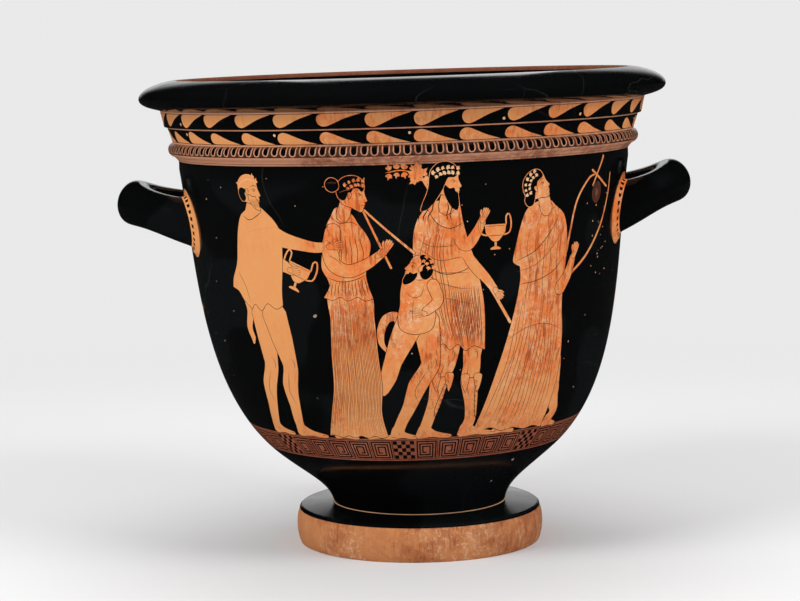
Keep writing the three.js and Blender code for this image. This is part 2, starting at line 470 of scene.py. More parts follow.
def meander_band(painting):
    """Key pattern of square spirals, with a chequered square after every five."""
    painting.strip(KEY, -TURN, TURN, MEANDER_LOW - 1.9, MEANDER_HIGH + 2.0)
    for z in (MEANDER_LOW - 0.7, MEANDER_HIGH + 0.5):
        painting.strip(GLOSS, -TURN, TURN, z, z + 0.5)
    cell = 2 * TURN / MEANDER_CELLS
    spread = REF / float(OUTLINE.radius((MEANDER_LOW + MEANDER_HIGH) / 2))
    hand = random.Random(11)
    for i in range(MEANDER_CELLS):
        # A chequered square lies just left of the front's middle, and the back seam is between cells
        centre = -TURN + i * cell + cell / 2
        if i % MEANDER_GROUP == MEANDER_GROUP - 1:
            chequered_square(painting, centre, cell, spread)
            continue
        square_spiral(painting, centre, cell, spread, hand)
        edge = centre + cell / 2
        if i < MEANDER_CELLS - 1:
            painting.band_shape(GLOSS, rectangle(edge - 0.35, edge + 0.35, MEANDER_LOW, MEANDER_HIGH))


def tongue_ring(painting):
    """Small tongues on the half-round ring, each inside a reserved U, over a plain clay band."""
    painting.strip(BAND, -TURN, TURN, PLAIN_LOW, TONGUE_LOW)
    painting.strip(THIN, -TURN, TURN, PLAIN_LOW + 1.2, PLAIN_LOW + 1.5)
    s0, s1 = float(OUTLINE.s_at(TONGUE_LOW)), float(OUTLINE.s_at(RING_HIGH - 0.1))
    painting.add(THIN, rectangle(-TURN, TURN, s0, s1))
    cell = 2 * TURN / TONGUES
    hand = random.Random(7)
    rows = s1 - s0
    for i in range(TONGUES):
        centre = -TURN + (i + 0.5) * cell + hand.uniform(-0.25, 0.25)
        bottom = s0 + rows * (0.08 + hand.uniform(-0.03, 0.03))
        for paint, half, low in ((BAND, cell * 0.38, bottom), (GLOSS, cell * 0.25, bottom + 0.9)):
            outline = [(centre - half, s1 - 0.2), (centre - half, low + half)]
            outline += [(centre - half * math.cos(a), low + half - half * math.sin(a))
                        for a in (PI * 0.25, PI * 0.5, PI * 0.75)]
            outline += [(centre + half, low + half), (centre + half, s1 - 0.2)]
            painting.add(paint, outline)
        if hand.random() < 0.8:
            x = centre + cell / 2
            if i < TONGUES - 1:
                painting.add(GLOSS, [(x - 0.5, s0 + 0.7), (x, s0 + 0.1), (x + 0.5, s0 + 0.7),
                                     (x, s0 + 1.5)])


def nicks(painting):
    """Tiny pale nicks in the gloss, here and there, and more of them beside the right handle."""
    hand = random.Random(17)
    places = [(hand.uniform(-PI + 0.1, PI - 0.1), hand.uniform(112, 308)) for _ in range(NICKS)]
    places += [(1.02 + hand.gauss(0, 0.05), 252 + hand.gauss(0, 16)) for _ in range(NICKS_BY_HANDLE)]
    for angle, height in places:
        size = hand.uniform(0.35, 0.8)
        turn = hand.uniform(0, PI)
        outline = []
        for k in range(6):
            a = turn + k * PI / 3
            reach = size * hand.uniform(0.5, 1.3)
            outline.append((angle * REF + reach * math.cos(a), height + reach * math.sin(a)))
        painting.band_shape(PALE if hand.random() < 0.45 else BAND, outline)


def laurel_rows(painting):
    """Two rows of laurel leaves, between reserved lines, on the two plain bands of the neck."""
    cell = 2 * TURN / LEAVES
    hand = random.Random(3)
    painting.strip(BAND, -TURN, TURN, RING_HIGH + 0.1, RING_HIGH + 1.5)
    painting.strip(BAND, -TURN, TURN, LAUREL_MID - 0.5, LAUREL_MID + 0.55)
    painting.strip(BAND, -TURN, TURN, LAUREL_HIGH, LIP_BASE[1] - 0.1)
    squeeze = REF / 190.0
    for row in range(2):
        if row:
            low, high = LAUREL_MID + 1.1, LAUREL_HIGH - 0.35
        else:
            low, high = RING_HIGH + 1.9, LAUREL_MID - 1.1
        # The leaf across the seam is drawn at both ends
        jitter = [(hand.uniform(-1.5, 1.5), hand.uniform(-0.6, 0.6), hand.uniform(-0.05, 0.05))
                  for _ in range(LEAVES)]
        for i in range(-1, LEAVES):
            longer, shift, fuller = jitter[i % LEAVES]
            length = (33.0 + longer) * squeeze
            start = -TURN + (i + LAUREL_PHASE) * cell + shift
            size = high - low
            flat = high if row else low
            away = -1 if row else 1
            bulb = size * (0.93 + fuller)
            points = [(0.02, 0.46), (0.05, 0.16), (0.13, 0.02), (0.30, 0.0), (0.62, 0.0), (1.0, 0.0, 0),
                      (0.66, 0.36), (0.44, 0.68), (0.27, 0.93), (0.16, 0.99), (0.06, 0.82)]
            shape = spline([(p[0] * length, p[1] * bulb) + tuple(p[2:]) for p in points], True, 2.4)
            painting.band_shape(FIGURE, np.stack([start + shape[:, 0], flat + away * shape[:, 1]], 1))
            if hand.random() < 0.22 and 0 <= i < LEAVES - 1:
                x = start + cell * 0.93
                z = (low + high) / 2 + away * size * 0.22
                painting.band_shape(PALE, round_arc(x, z, 1.1, np.linspace(0, 2 * PI, 9)[:-1]))


# ---- Heads, hands and feet

FACE = [(0.02, 1.00), (0.20, 0.965), (0.325, 0.86), (0.375, 0.72), (0.39, 0.60), (0.41, 0.52),
        (0.455, 0.42), (0.492, 0.345, 0), (0.455, 0.305), (0.41, 0.295, 0), (0.43, 0.25),
        (0.435, 0.222, 0), (0.40, 0.20, 0), (0.42, 0.175), (0.412, 0.145), (0.378, 0.118),
        (0.39, 0.07), (0.365, 0.02), (0.30, -0.01), (0.18, 0.03), (0.04, 0.09), (-0.10, 0.12),
        (-0.28, 0.20), (-0.41, 0.40), (-0.44, 0.60), (-0.38, 0.80), (-0.20, 0.95)]


def head(brush, place, height, turn=0.0):
    """Opens a head's own frame: chin at 0, crown at 1, face towards +x. Lays the bare profile."""
    brush.stack.append((place, height, turn))
    brush.area(FACE, spacing=1.0)
    brush.stroke([(0.15, 0.50), (0.22, 0.545), (0.33, 0.51)], 0.42)
    brush.stroke([(0.17, 0.495), (0.24, 0.468), (0.31, 0.495)], 0.32)
    brush.stroke([(0.262, 0.525), (0.266, 0.485)], 0.95)
    brush.stroke([(0.13, 0.61), (0.25, 0.655), (0.365, 0.61)], 0.4)
    brush.stroke([(0.40, 0.20), (0.35, 0.195), (0.31, 0.205)], 0.38)
    brush.stroke([(0.42, 0.335), (0.405, 0.305), (0.43, 0.30)], 0.3)


def ear(brush):
    brush.area([(-0.10, 0.52), (-0.03, 0.54), (0.01, 0.48), (-0.02, 0.40), (-0.05, 0.34), (-0.09, 0.40)],
               edge=0.35, spacing=1.0)
    brush.stroke([(-0.07, 0.49), (-0.03, 0.48), (-0.045, 0.41)], 0.3)


def hair(brush, points, rim=0.5):
    """A gloss mass of hair, with the thin reserved line that parts it from the dark ground."""
    outline = brush.move(spline(points, True, 1.4 / brush.stack[-1][1]))
    brush.painting.add(FIGURE, brush.place(grown(outline, rim)))
    brush.painting.add(GLOSS, brush.place(outline))


def ivy_leaf(brush, at, size, turn, paint=PALE):
    points = [(0.0, -0.50), (0.42, -0.30), (0.52, 0.10), (0.22, 0.16), (0.0, 0.62, 0), (-0.22, 0.16),
              (-0.52, 0.10), (-0.42, -0.30)]
    brush.stack.append((at, size, turn))
    outline = brush.move(spline(points, True, 0.35))
    brush.stack.pop()
    brush.painting.add(paint, brush.place(outline))


def wreath(brush, points, count, size, paint=PALE):
    """Pairs of small leaves along a line over the hair."""
    path = spline(points, spacing=0.02)
    for i in range(count):
        k = int((i + 0.5) / count * (len(path) - 1))
        along = path[min(k + 1, len(path) - 1)] - path[k - 1]
        heading = math.atan2(along[1], along[0])
        off = np.array([-math.sin(heading), math.cos(heading)])
        for side in (-1, 1):
            at = path[k] + off * side * size * 0.62
            ivy_leaf(brush, at, size * brush.random.uniform(0.85, 1.1),
                     heading - PI / 2 + (0.0 if side > 0 else PI) - side * 0.5, paint)


def foot(brush, heel, length, height=9.5, lines=True):
    """A bare foot in profile, from its heel on the ground."""
    x, z = heel
    h = height
    brush.area([(x - 1.0, z + h * 0.45), (x - 1.6, z + 2.2), (x + 0.5, z + 0.15),
                (x + length * 0.45, z + 0.9), (x + length * 0.75, z), (x + length * 0.97, z + 0.1),
                (x + length, z + 2.2),
                (x + length * 0.80, z + 3.6), (x + length * 0.52, z + h * 0.62), (x + 9.0, z + h),
                (x + 7.6, z + h + 2), (x + 1.4, z + h + 1)], edge=0)
    if lines:
        brush.stroke([(x + length * 0.80, z + 1.9), (x + length * 0.99, z + 1.7)], 0.4)
        brush.stroke([(x + 4.6, z + h * 0.62), (x + 6.2, z + h * 0.36), (x + 4.4, z + h * 0.30)], 0.4, THIN)


def leg(brush, hip, knee, ankle, thigh=11.0, heel=None, length=24):
    """A bare leg in profile with thigh, knee, calf and ankle."""
    hip, knee, ankle = (np.array(p, float) for p in (hip, knee, ankle))
    calf = knee * 0.62 + ankle * 0.38 + np.array([-1.6, 0])
    joints = [(*hip, thigh), (*(hip * 0.5 + knee * 0.5 + [0.6, 0]), thigh * 0.84), (*knee, 6.9),
              (*(knee * 0.85 + ankle * 0.15), 6.7), (*calf, 7.0), (*(knee * 0.25 + ankle * 0.75), 4.9),
              (*ankle, 4.3)]
    if heel is not None:
        joints.append((heel[0] + 4.6, heel[1] + 6.0, 4.3))
    brush.limb(joints)
    if heel is not None:
        foot(brush, heel, length)
    brush.stroke([knee + [2.6, 5.5], knee + [4.6, 1], knee + [3.2, -3.6]], 0.4, THIN)
    brush.stroke([knee + [-3.0, -6], calf + [-2.0, -4], calf + [0.4, -14]], 0.4, THIN)


def hand(brush, at, turn, size=8.0):
    """A small open hand: a palm and its fingers."""
    brush.stack.append((at, size, turn))
    brush.limb([(-0.35, 0, 0.26), (0.15, 0, 0.33)], edge=0.3)
    for i in range(FINGERS):
        share = (i - (FINGERS - 1) / 2) / FINGERS
        brush.limb([(0.15, share * 0.62, 0.10), (0.62, share * (0.62 + FINGER_SPREAD * 3), 0.095),
                    (0.98 - abs(share) * 0.4, share * (0.55 + FINGER_SPREAD * 5), 0.075)], edge=0.16)
    brush.limb([(0.0, 0.22, 0.09), (0.32, 0.48, 0.085), (0.55, 0.52, 0.07)], edge=0.22)
    brush.stack.pop()


# ---- Vessels and instruments the figures hold

def drinking_cup(brush, at, size, turn=0.0):
    """A deep cup with two high handles and a stemmed foot."""
    brush.stack.append((at, size, turn))
    for side in (-1, 1):
        brush.limb([(side * 0.30, -0.10, 0.030), (side * 0.66, 0.02, 0.034), (side * 0.74, 0.45, 0.036),
                    (side * 0.64, 0.80, 0.036), (side * 0.50, 0.72, 0.034), (side * 0.50, 0.36, 0.030)],
                   edge=0.2)
    brush.limb([(0, -0.30, 0.05), (0, -0.62, 0.05)], edge=0.2)
    brush.area([(-0.24, -0.70, 0), (0.24, -0.70, 0), (0.22, -0.63), (0.0, -0.56), (-0.22, -0.63)], edge=0.2,
               spacing=1.2)
    brush.area([(-0.50, 0.38, 0), (0.50, 0.38, 0), (0.44, 0.02), (0.30, -0.16), (0.12, -0.34),
                (-0.12, -0.34), (-0.30, -0.16), (-0.44, 0.02)], edge=0.25, spacing=1.2)
    brush.stroke([(-0.47, 0.31), (0.47, 0.31)], 0.35)
    brush.stroke([(-0.36, -0.10), (0.36, -0.10)], 0.35)
    brush.stack.pop()


def ivy_spray(brush, start, end, leaves, size):
    """A bent twig with leaves on short stalks."""
    start, end = np.array(start, float), np.array(end, float)
    middle = (start + end) / 2 + [0, 2.0]
    brush.stroke([start, middle, end], 0.8, FIGURE)
    path = spline([start, middle, end], spacing=0.5)
    for i in range(leaves):
        k = int((i + 0.6) / leaves * (len(path) - 1))
        for side in (-1, 1):
            turn = brush.random.uniform(-0.4, 0.4) + (0 if side > 0 else PI)
            at = path[k] + [0, side * size * 0.75]
            ivy_leaf(brush, at, size * brush.random.uniform(0.8, 1.15), turn, FIGURE)


# ---- Figures of the front, from left to right

def bearded_reveller(painting):
    """A bald bearded man in a short cloak, who reaches forward and holds a tilted cup."""
    b = Brush(painting, -0.70, 21)
    b.limb([(-17, 214, 4.2), (-16, 205, 3.6), (-20, 192, 3.0), (-18, 184, 2.6), (-18.5, 180, 1.2)])
    leg(b, (-3, 204), (-4, 164), (-21, 117), 11.5, heel=(-27, 105.2), length=22)
    leg(b, (9, 204), (15, 164), (5.5, 118), 12.0, heel=(0.5, 105.0), length=27)
    drinking_cup(b, (36.5, 235.5), 19, -0.42)
    b.limb([(16, 246, 6.0), (26, 241, 4.6), (31, 238, 3.4)])
    hand(b, (32, 238), -0.2, 7.0)
    cloak = [(1, 289), (-6, 284), (-13, 279), (-18, 268), (-21, 255), (-24, 242), (-31, 230), (-33, 223, 0),
             (-26, 220), (-21, 213), (-13, 207, 0), (-9, 211), (-3, 206), (4, 212), (12, 208), (19, 211, 0),
             (20, 222), (23, 238), (25, 252), (26, 264), (22, 274), (14, 282), (7, 287)]
    b.area(cloak)
    b.limb([(-1, 282, 6.0), (4, 294, 5.6)], edge=0)
    b.stroke([(-10, 279), (-4, 276), (4, 279), (10, 283)], 0.5)
    b.stroke([(-24, 236), (-17, 224), (-14, 212)], 0.35, THIN)
    head(b, (-1.5, 286.5), 24.5)
    b.area([(0.02, 0.36), (0.14, 0.30), (0.27, 0.30), (0.30, 0.20, 0), (0.34, 0.185), (0.38, 0.11),
            (0.40, 0.0), (0.43, -0.14, 0), (0.30, -0.10), (0.16, -0.02), (0.05, 0.12), (-0.02, 0.25)],
           edge=0.4, spacing=1.0)
    for k in range(5):
        b.stroke([(0.06 + 0.06 * k, 0.24 - 0.01 * k), (0.13 + 0.06 * k, 0.08), (0.26 + 0.04 * k, -0.06)],
                 0.3, THIN)
    hair(b, [(-0.08, 0.50), (-0.16, 0.40), (-0.12, 0.26), (-0.20, 0.16), (-0.32, 0.18), (-0.42, 0.36),
             (-0.40, 0.52), (-0.28, 0.58)], 0.35)
    ear(b)
    for at, turn in (((0.36, 0.80), -0.5), ((0.24, 0.93), -0.1), ((-0.40, 0.70), 1.3)):
        ivy_leaf(b, at, 0.17, turn, FIGURE)
    b.stroke([(-0.40, 0.62), (-0.18, 0.78), (0.10, 0.84), (0.34, 0.74)], 0.4, PALE)
    b.stack.pop()


def piper(painting):
    """A woman in a long pleated dress who plays the double pipes."""
    b = Brush(painting, -0.26, 22)
    foot(b, (-26, 105.0), 19, 5, False)
    foot(b, (0, 105.0), 22, 6)
    left = [(-14, 222), (-15.5, 200), (-17.5, 175), (-19.5, 148), (-25, 127), (-31, 107.5)]
    right = [(16, 222), (18.5, 200), (18.5, 175), (18.5, 148), (15, 127), (16, 107.5)]
    hem = []
    for k in range(1, 9):
        t = k / 9
        hem.append((-31 + 47 * t, 106.2 + (1.8 if k % 2 else 0.0)))
    b.area([p + (0,) if i == 5 else p for i, p in enumerate(left)] + hem + [right[-1] + (0,)]
           + right[-2::-1])
    b.folds(left, right, [(k + 0.5) / 17 for k in range(17)], 0.36, THIN, 0.04, 1.0, 0.35)
    b.folds(left, right, [(k + 1.0) / 17 for k in range(16)], 0.38, WASH, 0.0, 1.0, 0.35)
    b.area([(-4, 286), (-9, 279), (-13, 272), (-14, 262), (-18, 250), (-19, 240), (-15, 232), (-14, 226),
            (-19, 218, 0), (-12, 216), (-6, 218.5), (0, 215.5), (7, 218.5), (13, 215.5), (19, 217, 0),
            (16, 227), (15, 236), (18, 248), (20, 258), (17, 266), (12, 273), (7, 281)])
    b.stroke([(-15, 233), (-5, 230), (5, 231), (15.5, 235)], 0.5)
    b.folds([(-12, 270), (-15, 250), (-14, 220)], [(15, 268), (17, 250), (16, 220)],
            (0.12, 0.24, 0.38, 0.5, 0.63, 0.77, 0.9), 0.42, GLOSS, 0.05, 0.62, 0.9)
    b.folds([(-14, 230), (-16, 225), (-18, 218)], [(15, 233), (16, 226), (18, 218)],
            [(k + 0.5) / 12 for k in range(12)], 0.4, GLOSS, 0.0, 0.95, 0.2)
    b.stroke([(-9, 279), (-2, 274), (6, 275), (12, 272)], 0.42)
    b.limb([(0.5, 280, 5.2), (4.5, 291, 4.6)])
    b.limb([(15.5, 284.5, 0.75), (24, 264, 0.8), (34, 240, 0.85)], edge=0.3)
    b.limb([(15.5, 285, 0.75), (33, 268, 0.8), (52, 250.5, 0.9)], edge=0.3)
    b.limb([(-8, 268, 6.2), (-11, 254, 6.8), (-9, 243, 5.6), (2, 238, 4.8), (16, 243, 4.0), (28, 251, 3.0)])
    b.stroke([(-14, 262), (-7, 256), (-3, 248)], 0.42)
    b.stroke([(-13, 250), (-7, 247), (-3, 243)], 0.42, THIN)
    hand(b, (31, 254), 1.0, 8.0)
    hand(b, (26, 250), 0.5, 6.0)
    head(b, (6.5, 283.5), 25.0, -0.12)
    hair(b, [(0.37, 0.66), (0.30, 0.60), (0.20, 0.68), (0.06, 0.66), (0.0, 0.55), (-0.10, 0.50),
             (-0.14, 0.36), (-0.22, 0.28), (-0.38, 0.34), (-0.46, 0.56), (-0.42, 0.80), (-0.24, 0.98),
             (0.02, 1.05), (0.24, 0.99), (0.36, 0.84)])
    hair(b, [(-0.40, 0.62), (-0.58, 0.50), (-0.76, 0.56), (-0.82, 0.74), (-0.70, 0.90), (-0.52, 0.90),
             (-0.42, 0.80)])
    for k in range(4):
        b.stroke([(-0.78 + 0.07 * k, 0.72), (-0.62 + 0.05 * k, 0.80), (-0.48, 0.76)], 0.28, THIN)
    ear(b)
    wreath(b, [(-0.20, 0.66), (-0.04, 0.78), (0.16, 0.86), (0.40, 0.84)], 5, 0.115, FIGURE)
    b.stroke([(-0.38, 0.50), (-0.12, 0.62), (0.10, 0.70)], 0.5, WASH)
    b.stack.pop()


def reaching_arm(painting):
    """The reveller's outstretched arm, in front of the piper's back."""
    b = Brush(painting, -0.70, 23)
    b.limb([(14, 268, 7.2), (26, 262, 6.2), (40, 258.5, 4.8), (54, 256, 4.0), (64, 256.5, 3.2)],
           edge=0)
    hand(b, (68, 257), 0.15, 8.5)


def small_satyr(painting):
    """A small bearded dancer with a curled tail, who leans back and looks up."""
    b = Brush(painting, 0.05, 24)
    b.limb([(-12, 196, 3.6), (-18, 203, 3.6), (-25, 201, 3.4), (-29, 192, 3.0), (-29, 183, 2.2),
            (-25, 176, 1.0)])
    leg(b, (4, 200), (7, 166), (-16, 120), 10.5, heel=(-24, 105.2), length=19)
    b.limb([(-6, 200, 10.5), (-14, 184, 9.0), (-21, 168, 6.6), (-25, 156, 6.2), (-30, 146, 5.0)])
    b.area([(-9, 233), (-13, 224), (-14, 212), (-16, 202), (-14, 193), (-4, 189), (8, 192), (12, 202),
            (11, 213), (14, 222), (13, 229), (4, 234)])
    b.stroke([(-10, 222), (-4, 217), (2, 219), (4, 226)], 0.42, THIN)
    b.stroke([(-8, 208), (-2, 205), (4, 207)], 0.4, THIN)
    b.stroke([(-4, 216), (-5, 206), (-5, 198)], 0.4, THIN)
    b.limb([(11, 226, 4.6), (14, 214, 4.0), (5, 206, 3.2)])
    hand(b, (2, 205), 2.9, 6.5)
    b.facing = -1
    head(b, (3.0, 229.0), 20.5, 0.40)
    hair(b, [(-0.02, 0.58), (-0.06, 0.40), (-0.18, 0.24), (-0.36, 0.22), (-0.50, 0.42), (-0.50, 0.66),
             (-0.40, 0.90), (-0.16, 1.04), (0.08, 1.04), (0.14, 0.92), (0.02, 0.80)], 0.4)
    hair(b, [(0.02, 0.36), (0.14, 0.26), (0.27, 0.29), (0.30, 0.20), (0.37, 0.17), (0.40, 0.04),
             (0.40, -0.12), (0.30, -0.22), (0.14, -0.12), (0.02, 0.06), (-0.02, 0.22)], 0.35)
    b.area([(-0.12, 0.50), (-0.10, 0.62), (-0.16, 0.74, 0), (-0.02, 0.64), (0.02, 0.50), (-0.04, 0.40)],
           edge=0.3, spacing=0.9)
    wreath(b, [(-0.44, 0.62), (-0.24, 0.86), (0.02, 0.94)], 3, 0.15, FIGURE)
    b.stack.pop()


def boot(brush, knee, ankle, heel, length):
    """A leg in a laced boot with a folded top."""
    knee, ankle = np.array(knee, float), np.array(ankle, float)
    leg(brush, knee + [1, 22], knee, ankle, 9.5, heel, length)
    top = knee * 0.68 + ankle * 0.32
    brush.stroke([top + [-7.4, 2], top + [-1, -1.2], top + [6.2, 1.0]], 0.5)
    for side in (-1, 1):
        x = side * 5.0
        tip = (*(top + [x - 0.4 * side, -13]), 0)
        brush.area([top + [x - 3, 1.5], top + [x + 3, 1.0], top + [x + 1.6, -8], tip,
                    top + [x - 2.4, -6]], edge=0.35)
    for k in range(8):
        at = top * (1 - k / 8.5) + ankle * (k / 8.5) + [3.6 - 0.1 * k, -4]
        brush.stroke([at + [-1.8, 1.1], at + [0.8, -0.2], at + [-1.3, -1.6]], 0.6)
    brush.stroke([top + [2.6, -4], ankle + [3.4, 4], ankle + [7.5, -7.5]], 0.42)


def staff_bearer(painting):
    """A tall bearded man, wreathed and draped, with a staff topped with ivy and a deep cup."""
    b = Brush(painting, 0.24, 25)
    b.limb([(-31, 309, 0.9), (-22, 294, 0.95), (8, 244, 1.0), (24, 219, 1.1), (39, 194, 1.2)], edge=0.3)
    ivy_spray(b, (-33, 310), (-56, 311), 4, 4.6)
    for at, turn, size in (((-33, 315), 0.2, 7), ((-28, 311), -0.8, 6.5), ((-37, 310), 1.0, 6.5),
                           ((-31, 306), -2.2, 6), ((-25, 305), -1.2, 6), ((-36, 304), 2.2, 5.5),
                           ((-32, 310.5), 0.0, 7)):
        ivy_leaf(b, at, size, turn, FIGURE)
    for at, turn in (((-33, 313), 0.2), ((-31, 307), -2.0)):
        b.stroke([at, (at[0] + 2.2 * math.sin(-turn), at[1] + 2.2 * math.cos(turn))], 0.35, THIN)
    boot(b, (-10, 171), (-23, 124), (-31, 105.2), 26)
    boot(b, (8, 170), (8.5, 120), (1, 105.0), 30)
    left = [(-15, 280), (-31, 262), (-35, 246), (-33, 225), (-29, 205), (-22, 186), (-19, 178)]
    right = [(2, 284), (9, 262), (13, 240), (16, 220), (17.5, 200), (18, 186), (18, 177)]
    b.area([(-3, 293), (-12, 290), (-24, 287), (-31, 279), (-35.5, 266), (-36, 248), (-33, 226), (-29, 205),
            (-23, 187), (-20, 178, 0), (-14, 181), (-9, 176), (-3, 180), (3, 174.5), (9, 178),
            (18, 174.5, 0), (18, 200), (16.5, 216), (11, 241), (6, 256), (1.5, 272), (-1, 286)])
    b.folds(left, right, (0.50, 0.55, 0.61, 0.66, 0.72, 0.77, 0.83, 0.88, 0.94), 0.5, THIN, 0.52, 1.0, 0.4)
    b.folds(left, right, (0.53, 0.58, 0.64, 0.69, 0.75, 0.80, 0.86, 0.91), 0.5, WASH, 0.5, 1.0, 0.4)
    b.folds(left, right, (0.08, 0.2, 0.3, 0.4), 0.45, THIN, 0.1, 0.98, 1.6)
    b.folds(left, right, (0.14, 0.26, 0.36, 0.46), 0.45, WASH, 0.15, 0.98, 1.6)
    for k in range(5):
        b.stroke([(-34 + k, 262 - 8 * k), (-18, 254 - 9 * k), (4 + k, 258 - 12 * k)], 0.45, WASH, 0.8)
    b.stroke([(-30, 244), (-14, 234), (2, 236), (12, 243)], 0.5)
    b.stroke([(-26, 284), (-18, 272), (-8, 268), (2, 272)], 0.5)
    b.limb([(-3, 258, 5.0), (5, 255.5, 4.6), (12, 264, 3.8), (16.5, 273, 2.8)], edge=0)
    b.stroke([(-7, 262), (-2, 252.5), (6, 250.5), (12, 256)], 0.4, THIN)
    drinking_cup(b, (27, 262.5), 17.5)
    hand(b, (17.5, 275), 1.15, 7.5)
    b.limb([(4, 246, 4.4), (10, 239, 4.2), (19, 229, 3.6), (26, 220, 2.8)], edge=0)
    b.stroke([(0, 247), (6, 237), (15, 227)], 0.4, THIN)
    hand(b, (28, 218), -0.9, 7.0)
    b.limb([(-11, 284, 6.0), (-9, 296, 5.4)])
    head(b, (-12.0, 290.5), 25.0)
    hair(b, [(0.36, 0.70), (0.26, 0.62), (0.10, 0.62), (0.02, 0.50), (-0.04, 0.36), (-0.12, 0.20),
             (-0.30, -0.06), (-0.52, -0.30), (-0.72, -0.34), (-0.66, -0.10), (-0.56, 0.14), (-0.50, 0.36),
             (-0.48, 0.62), (-0.42, 0.86), (-0.22, 1.05), (0.04, 1.09), (0.26, 1.0), (0.38, 0.84)])
    hair(b, [(0.0, 0.40), (0.12, 0.30), (0.27, 0.305), (0.31, 0.20), (0.38, 0.16), (0.40, 0.02),
             (0.42, -0.18), (0.36, -0.36), (0.22, -0.30), (0.08, -0.10), (-0.02, 0.12), (-0.05, 0.28)], 0.3)
    for k in range(3):
        x = -0.36 - 0.14 * k
        b.stroke([(x + 0.12, 0.02), (x, -0.14), (x - 0.02, -0.32), (x - 0.14, -0.50), (x - 0.16, -0.66)],
                 0.75, GLOSS)
    for k in range(2):
        x = 0.06 + 0.1 * k
        b.stroke([(x, -0.10), (x + 0.04, -0.30), (x - 0.02, -0.48), (x + 0.03, -0.66)], 0.7, GLOSS)
    wreath(b, [(-0.36, 0.68), (-0.16, 0.80), (0.08, 0.84), (0.46, 0.80)], 6, 0.125)
    b.stack.pop()


def lyre_player(painting):
    """A draped and wreathed figure who looks up and holds a long-armed lyre."""
    b = Brush(painting, 0.63, 26)
    b.limb([(22, 226, 1.0), (28, 254, 1.0), (36, 282, 0.95), (50, 298, 0.85), (60, 301, 0.7)], edge=0.3)
    b.limb([(28, 224, 1.0), (52, 240, 1.0), (72, 262, 0.95), (82, 284, 0.85), (84, 300, 0.7)], edge=0.3)
    b.limb([(54, 304, 0.9), (78, 290, 0.9)], edge=0.3)
    b.limb([(56, 292, 0.8), (70, 314, 0.9)], edge=0.3)
    b.area([(62, 278), (67, 281), (69, 287), (67, 293), (62, 295), (57, 291), (55.5, 285), (57.5, 280)],
           THIN, edge=0)
    b.area([(60.5, 284), (63, 282.5), (64.5, 286), (63, 289.5), (60.5, 289)], WASH, edge=0)
    leg(b, (20, 160), (24, 138), (32, 117), 8, heel=(24, 104.2), length=16)
    foot(b, (-26, 104.6), 20, 5, False)
    left = [(-16, 274), (-23, 252), (-20, 232), (-22, 210), (-28, 180), (-36, 148), (-44, 116)]
    right = [(20, 274), (25, 252), (23, 232), (22, 210), (25, 180), (25, 148), (22, 106)]
    b.area([(5, 285), (-6, 284), (-15, 279), (-20, 268), (-24, 252), (-26, 240), (-20, 236, 0), (-19, 228),
            (-21, 212), (-27, 184), (-34, 155), (-39, 130), (-42, 113, 0), (-37, 109), (-28, 110.5),
            (-18, 107), (-8, 108.5), (4, 106), (12, 107.5), (22, 105, 0), (25, 130), (27, 155), (26, 180),
            (23, 205), (24, 226), (26, 245), (25, 262), (21, 273), (12, 280)])
    b.folds(left, right, (0.1, 0.2, 0.32, 0.44, 0.56, 0.68, 0.8, 0.9), 0.42, THIN, 0.42, 1.0, 1.0)
    b.folds(left, right, (0.15, 0.26, 0.38, 0.5, 0.62, 0.74, 0.85), 0.45, WASH, 0.40, 1.0, 1.0)
    b.folds(left, right, (0.2, 0.36, 0.52, 0.66, 0.82), 0.45, WASH, 0.02, 0.45, 1.2)
    b.stroke([(-24, 240), (-8, 246), (6, 258), (16, 272)], 0.5)
    b.stroke([(-22, 232), (-6, 236), (10, 248), (22, 262)], 0.45, WASH)
    b.stroke([(-20, 222), (-4, 224), (12, 230), (23, 240)], 0.5)
    b.stroke([(-6, 282), (2, 276), (12, 279)], 0.45)
    b.stroke([(-28, 180), (-12, 188), (6, 190), (24, 184)], 0.45, WASH)
    b.limb([(20, 216, 5.4), (28, 226, 4.4), (33, 238, 3.2)])
    hand(b, (35, 242), 1.2, 8.5)
    b.limb([(3, 278, 5.6), (-1, 289, 5.0)])
    head(b, (-2.5, 284.5), 23.5, 0.42)
    hair(b, [(0.34, 0.74), (0.22, 0.68), (0.08, 0.64), (0.0, 0.50), (-0.10, 0.36), (-0.20, 0.18),
             (-0.34, 0.02), (-0.52, 0.06), (-0.58, 0.26), (-0.50, 0.42), (-0.50, 0.66), (-0.40, 0.90),
             (-0.16, 1.05), (0.10, 1.06), (0.28, 0.94)])
    ear(b)
    wreath(b, [(-0.36, 0.34), (-0.32, 0.66), (-0.12, 0.88), (0.20, 0.94)], 6, 0.12)
    b.stack.pop()


# ---- Figures of the back and under the handles

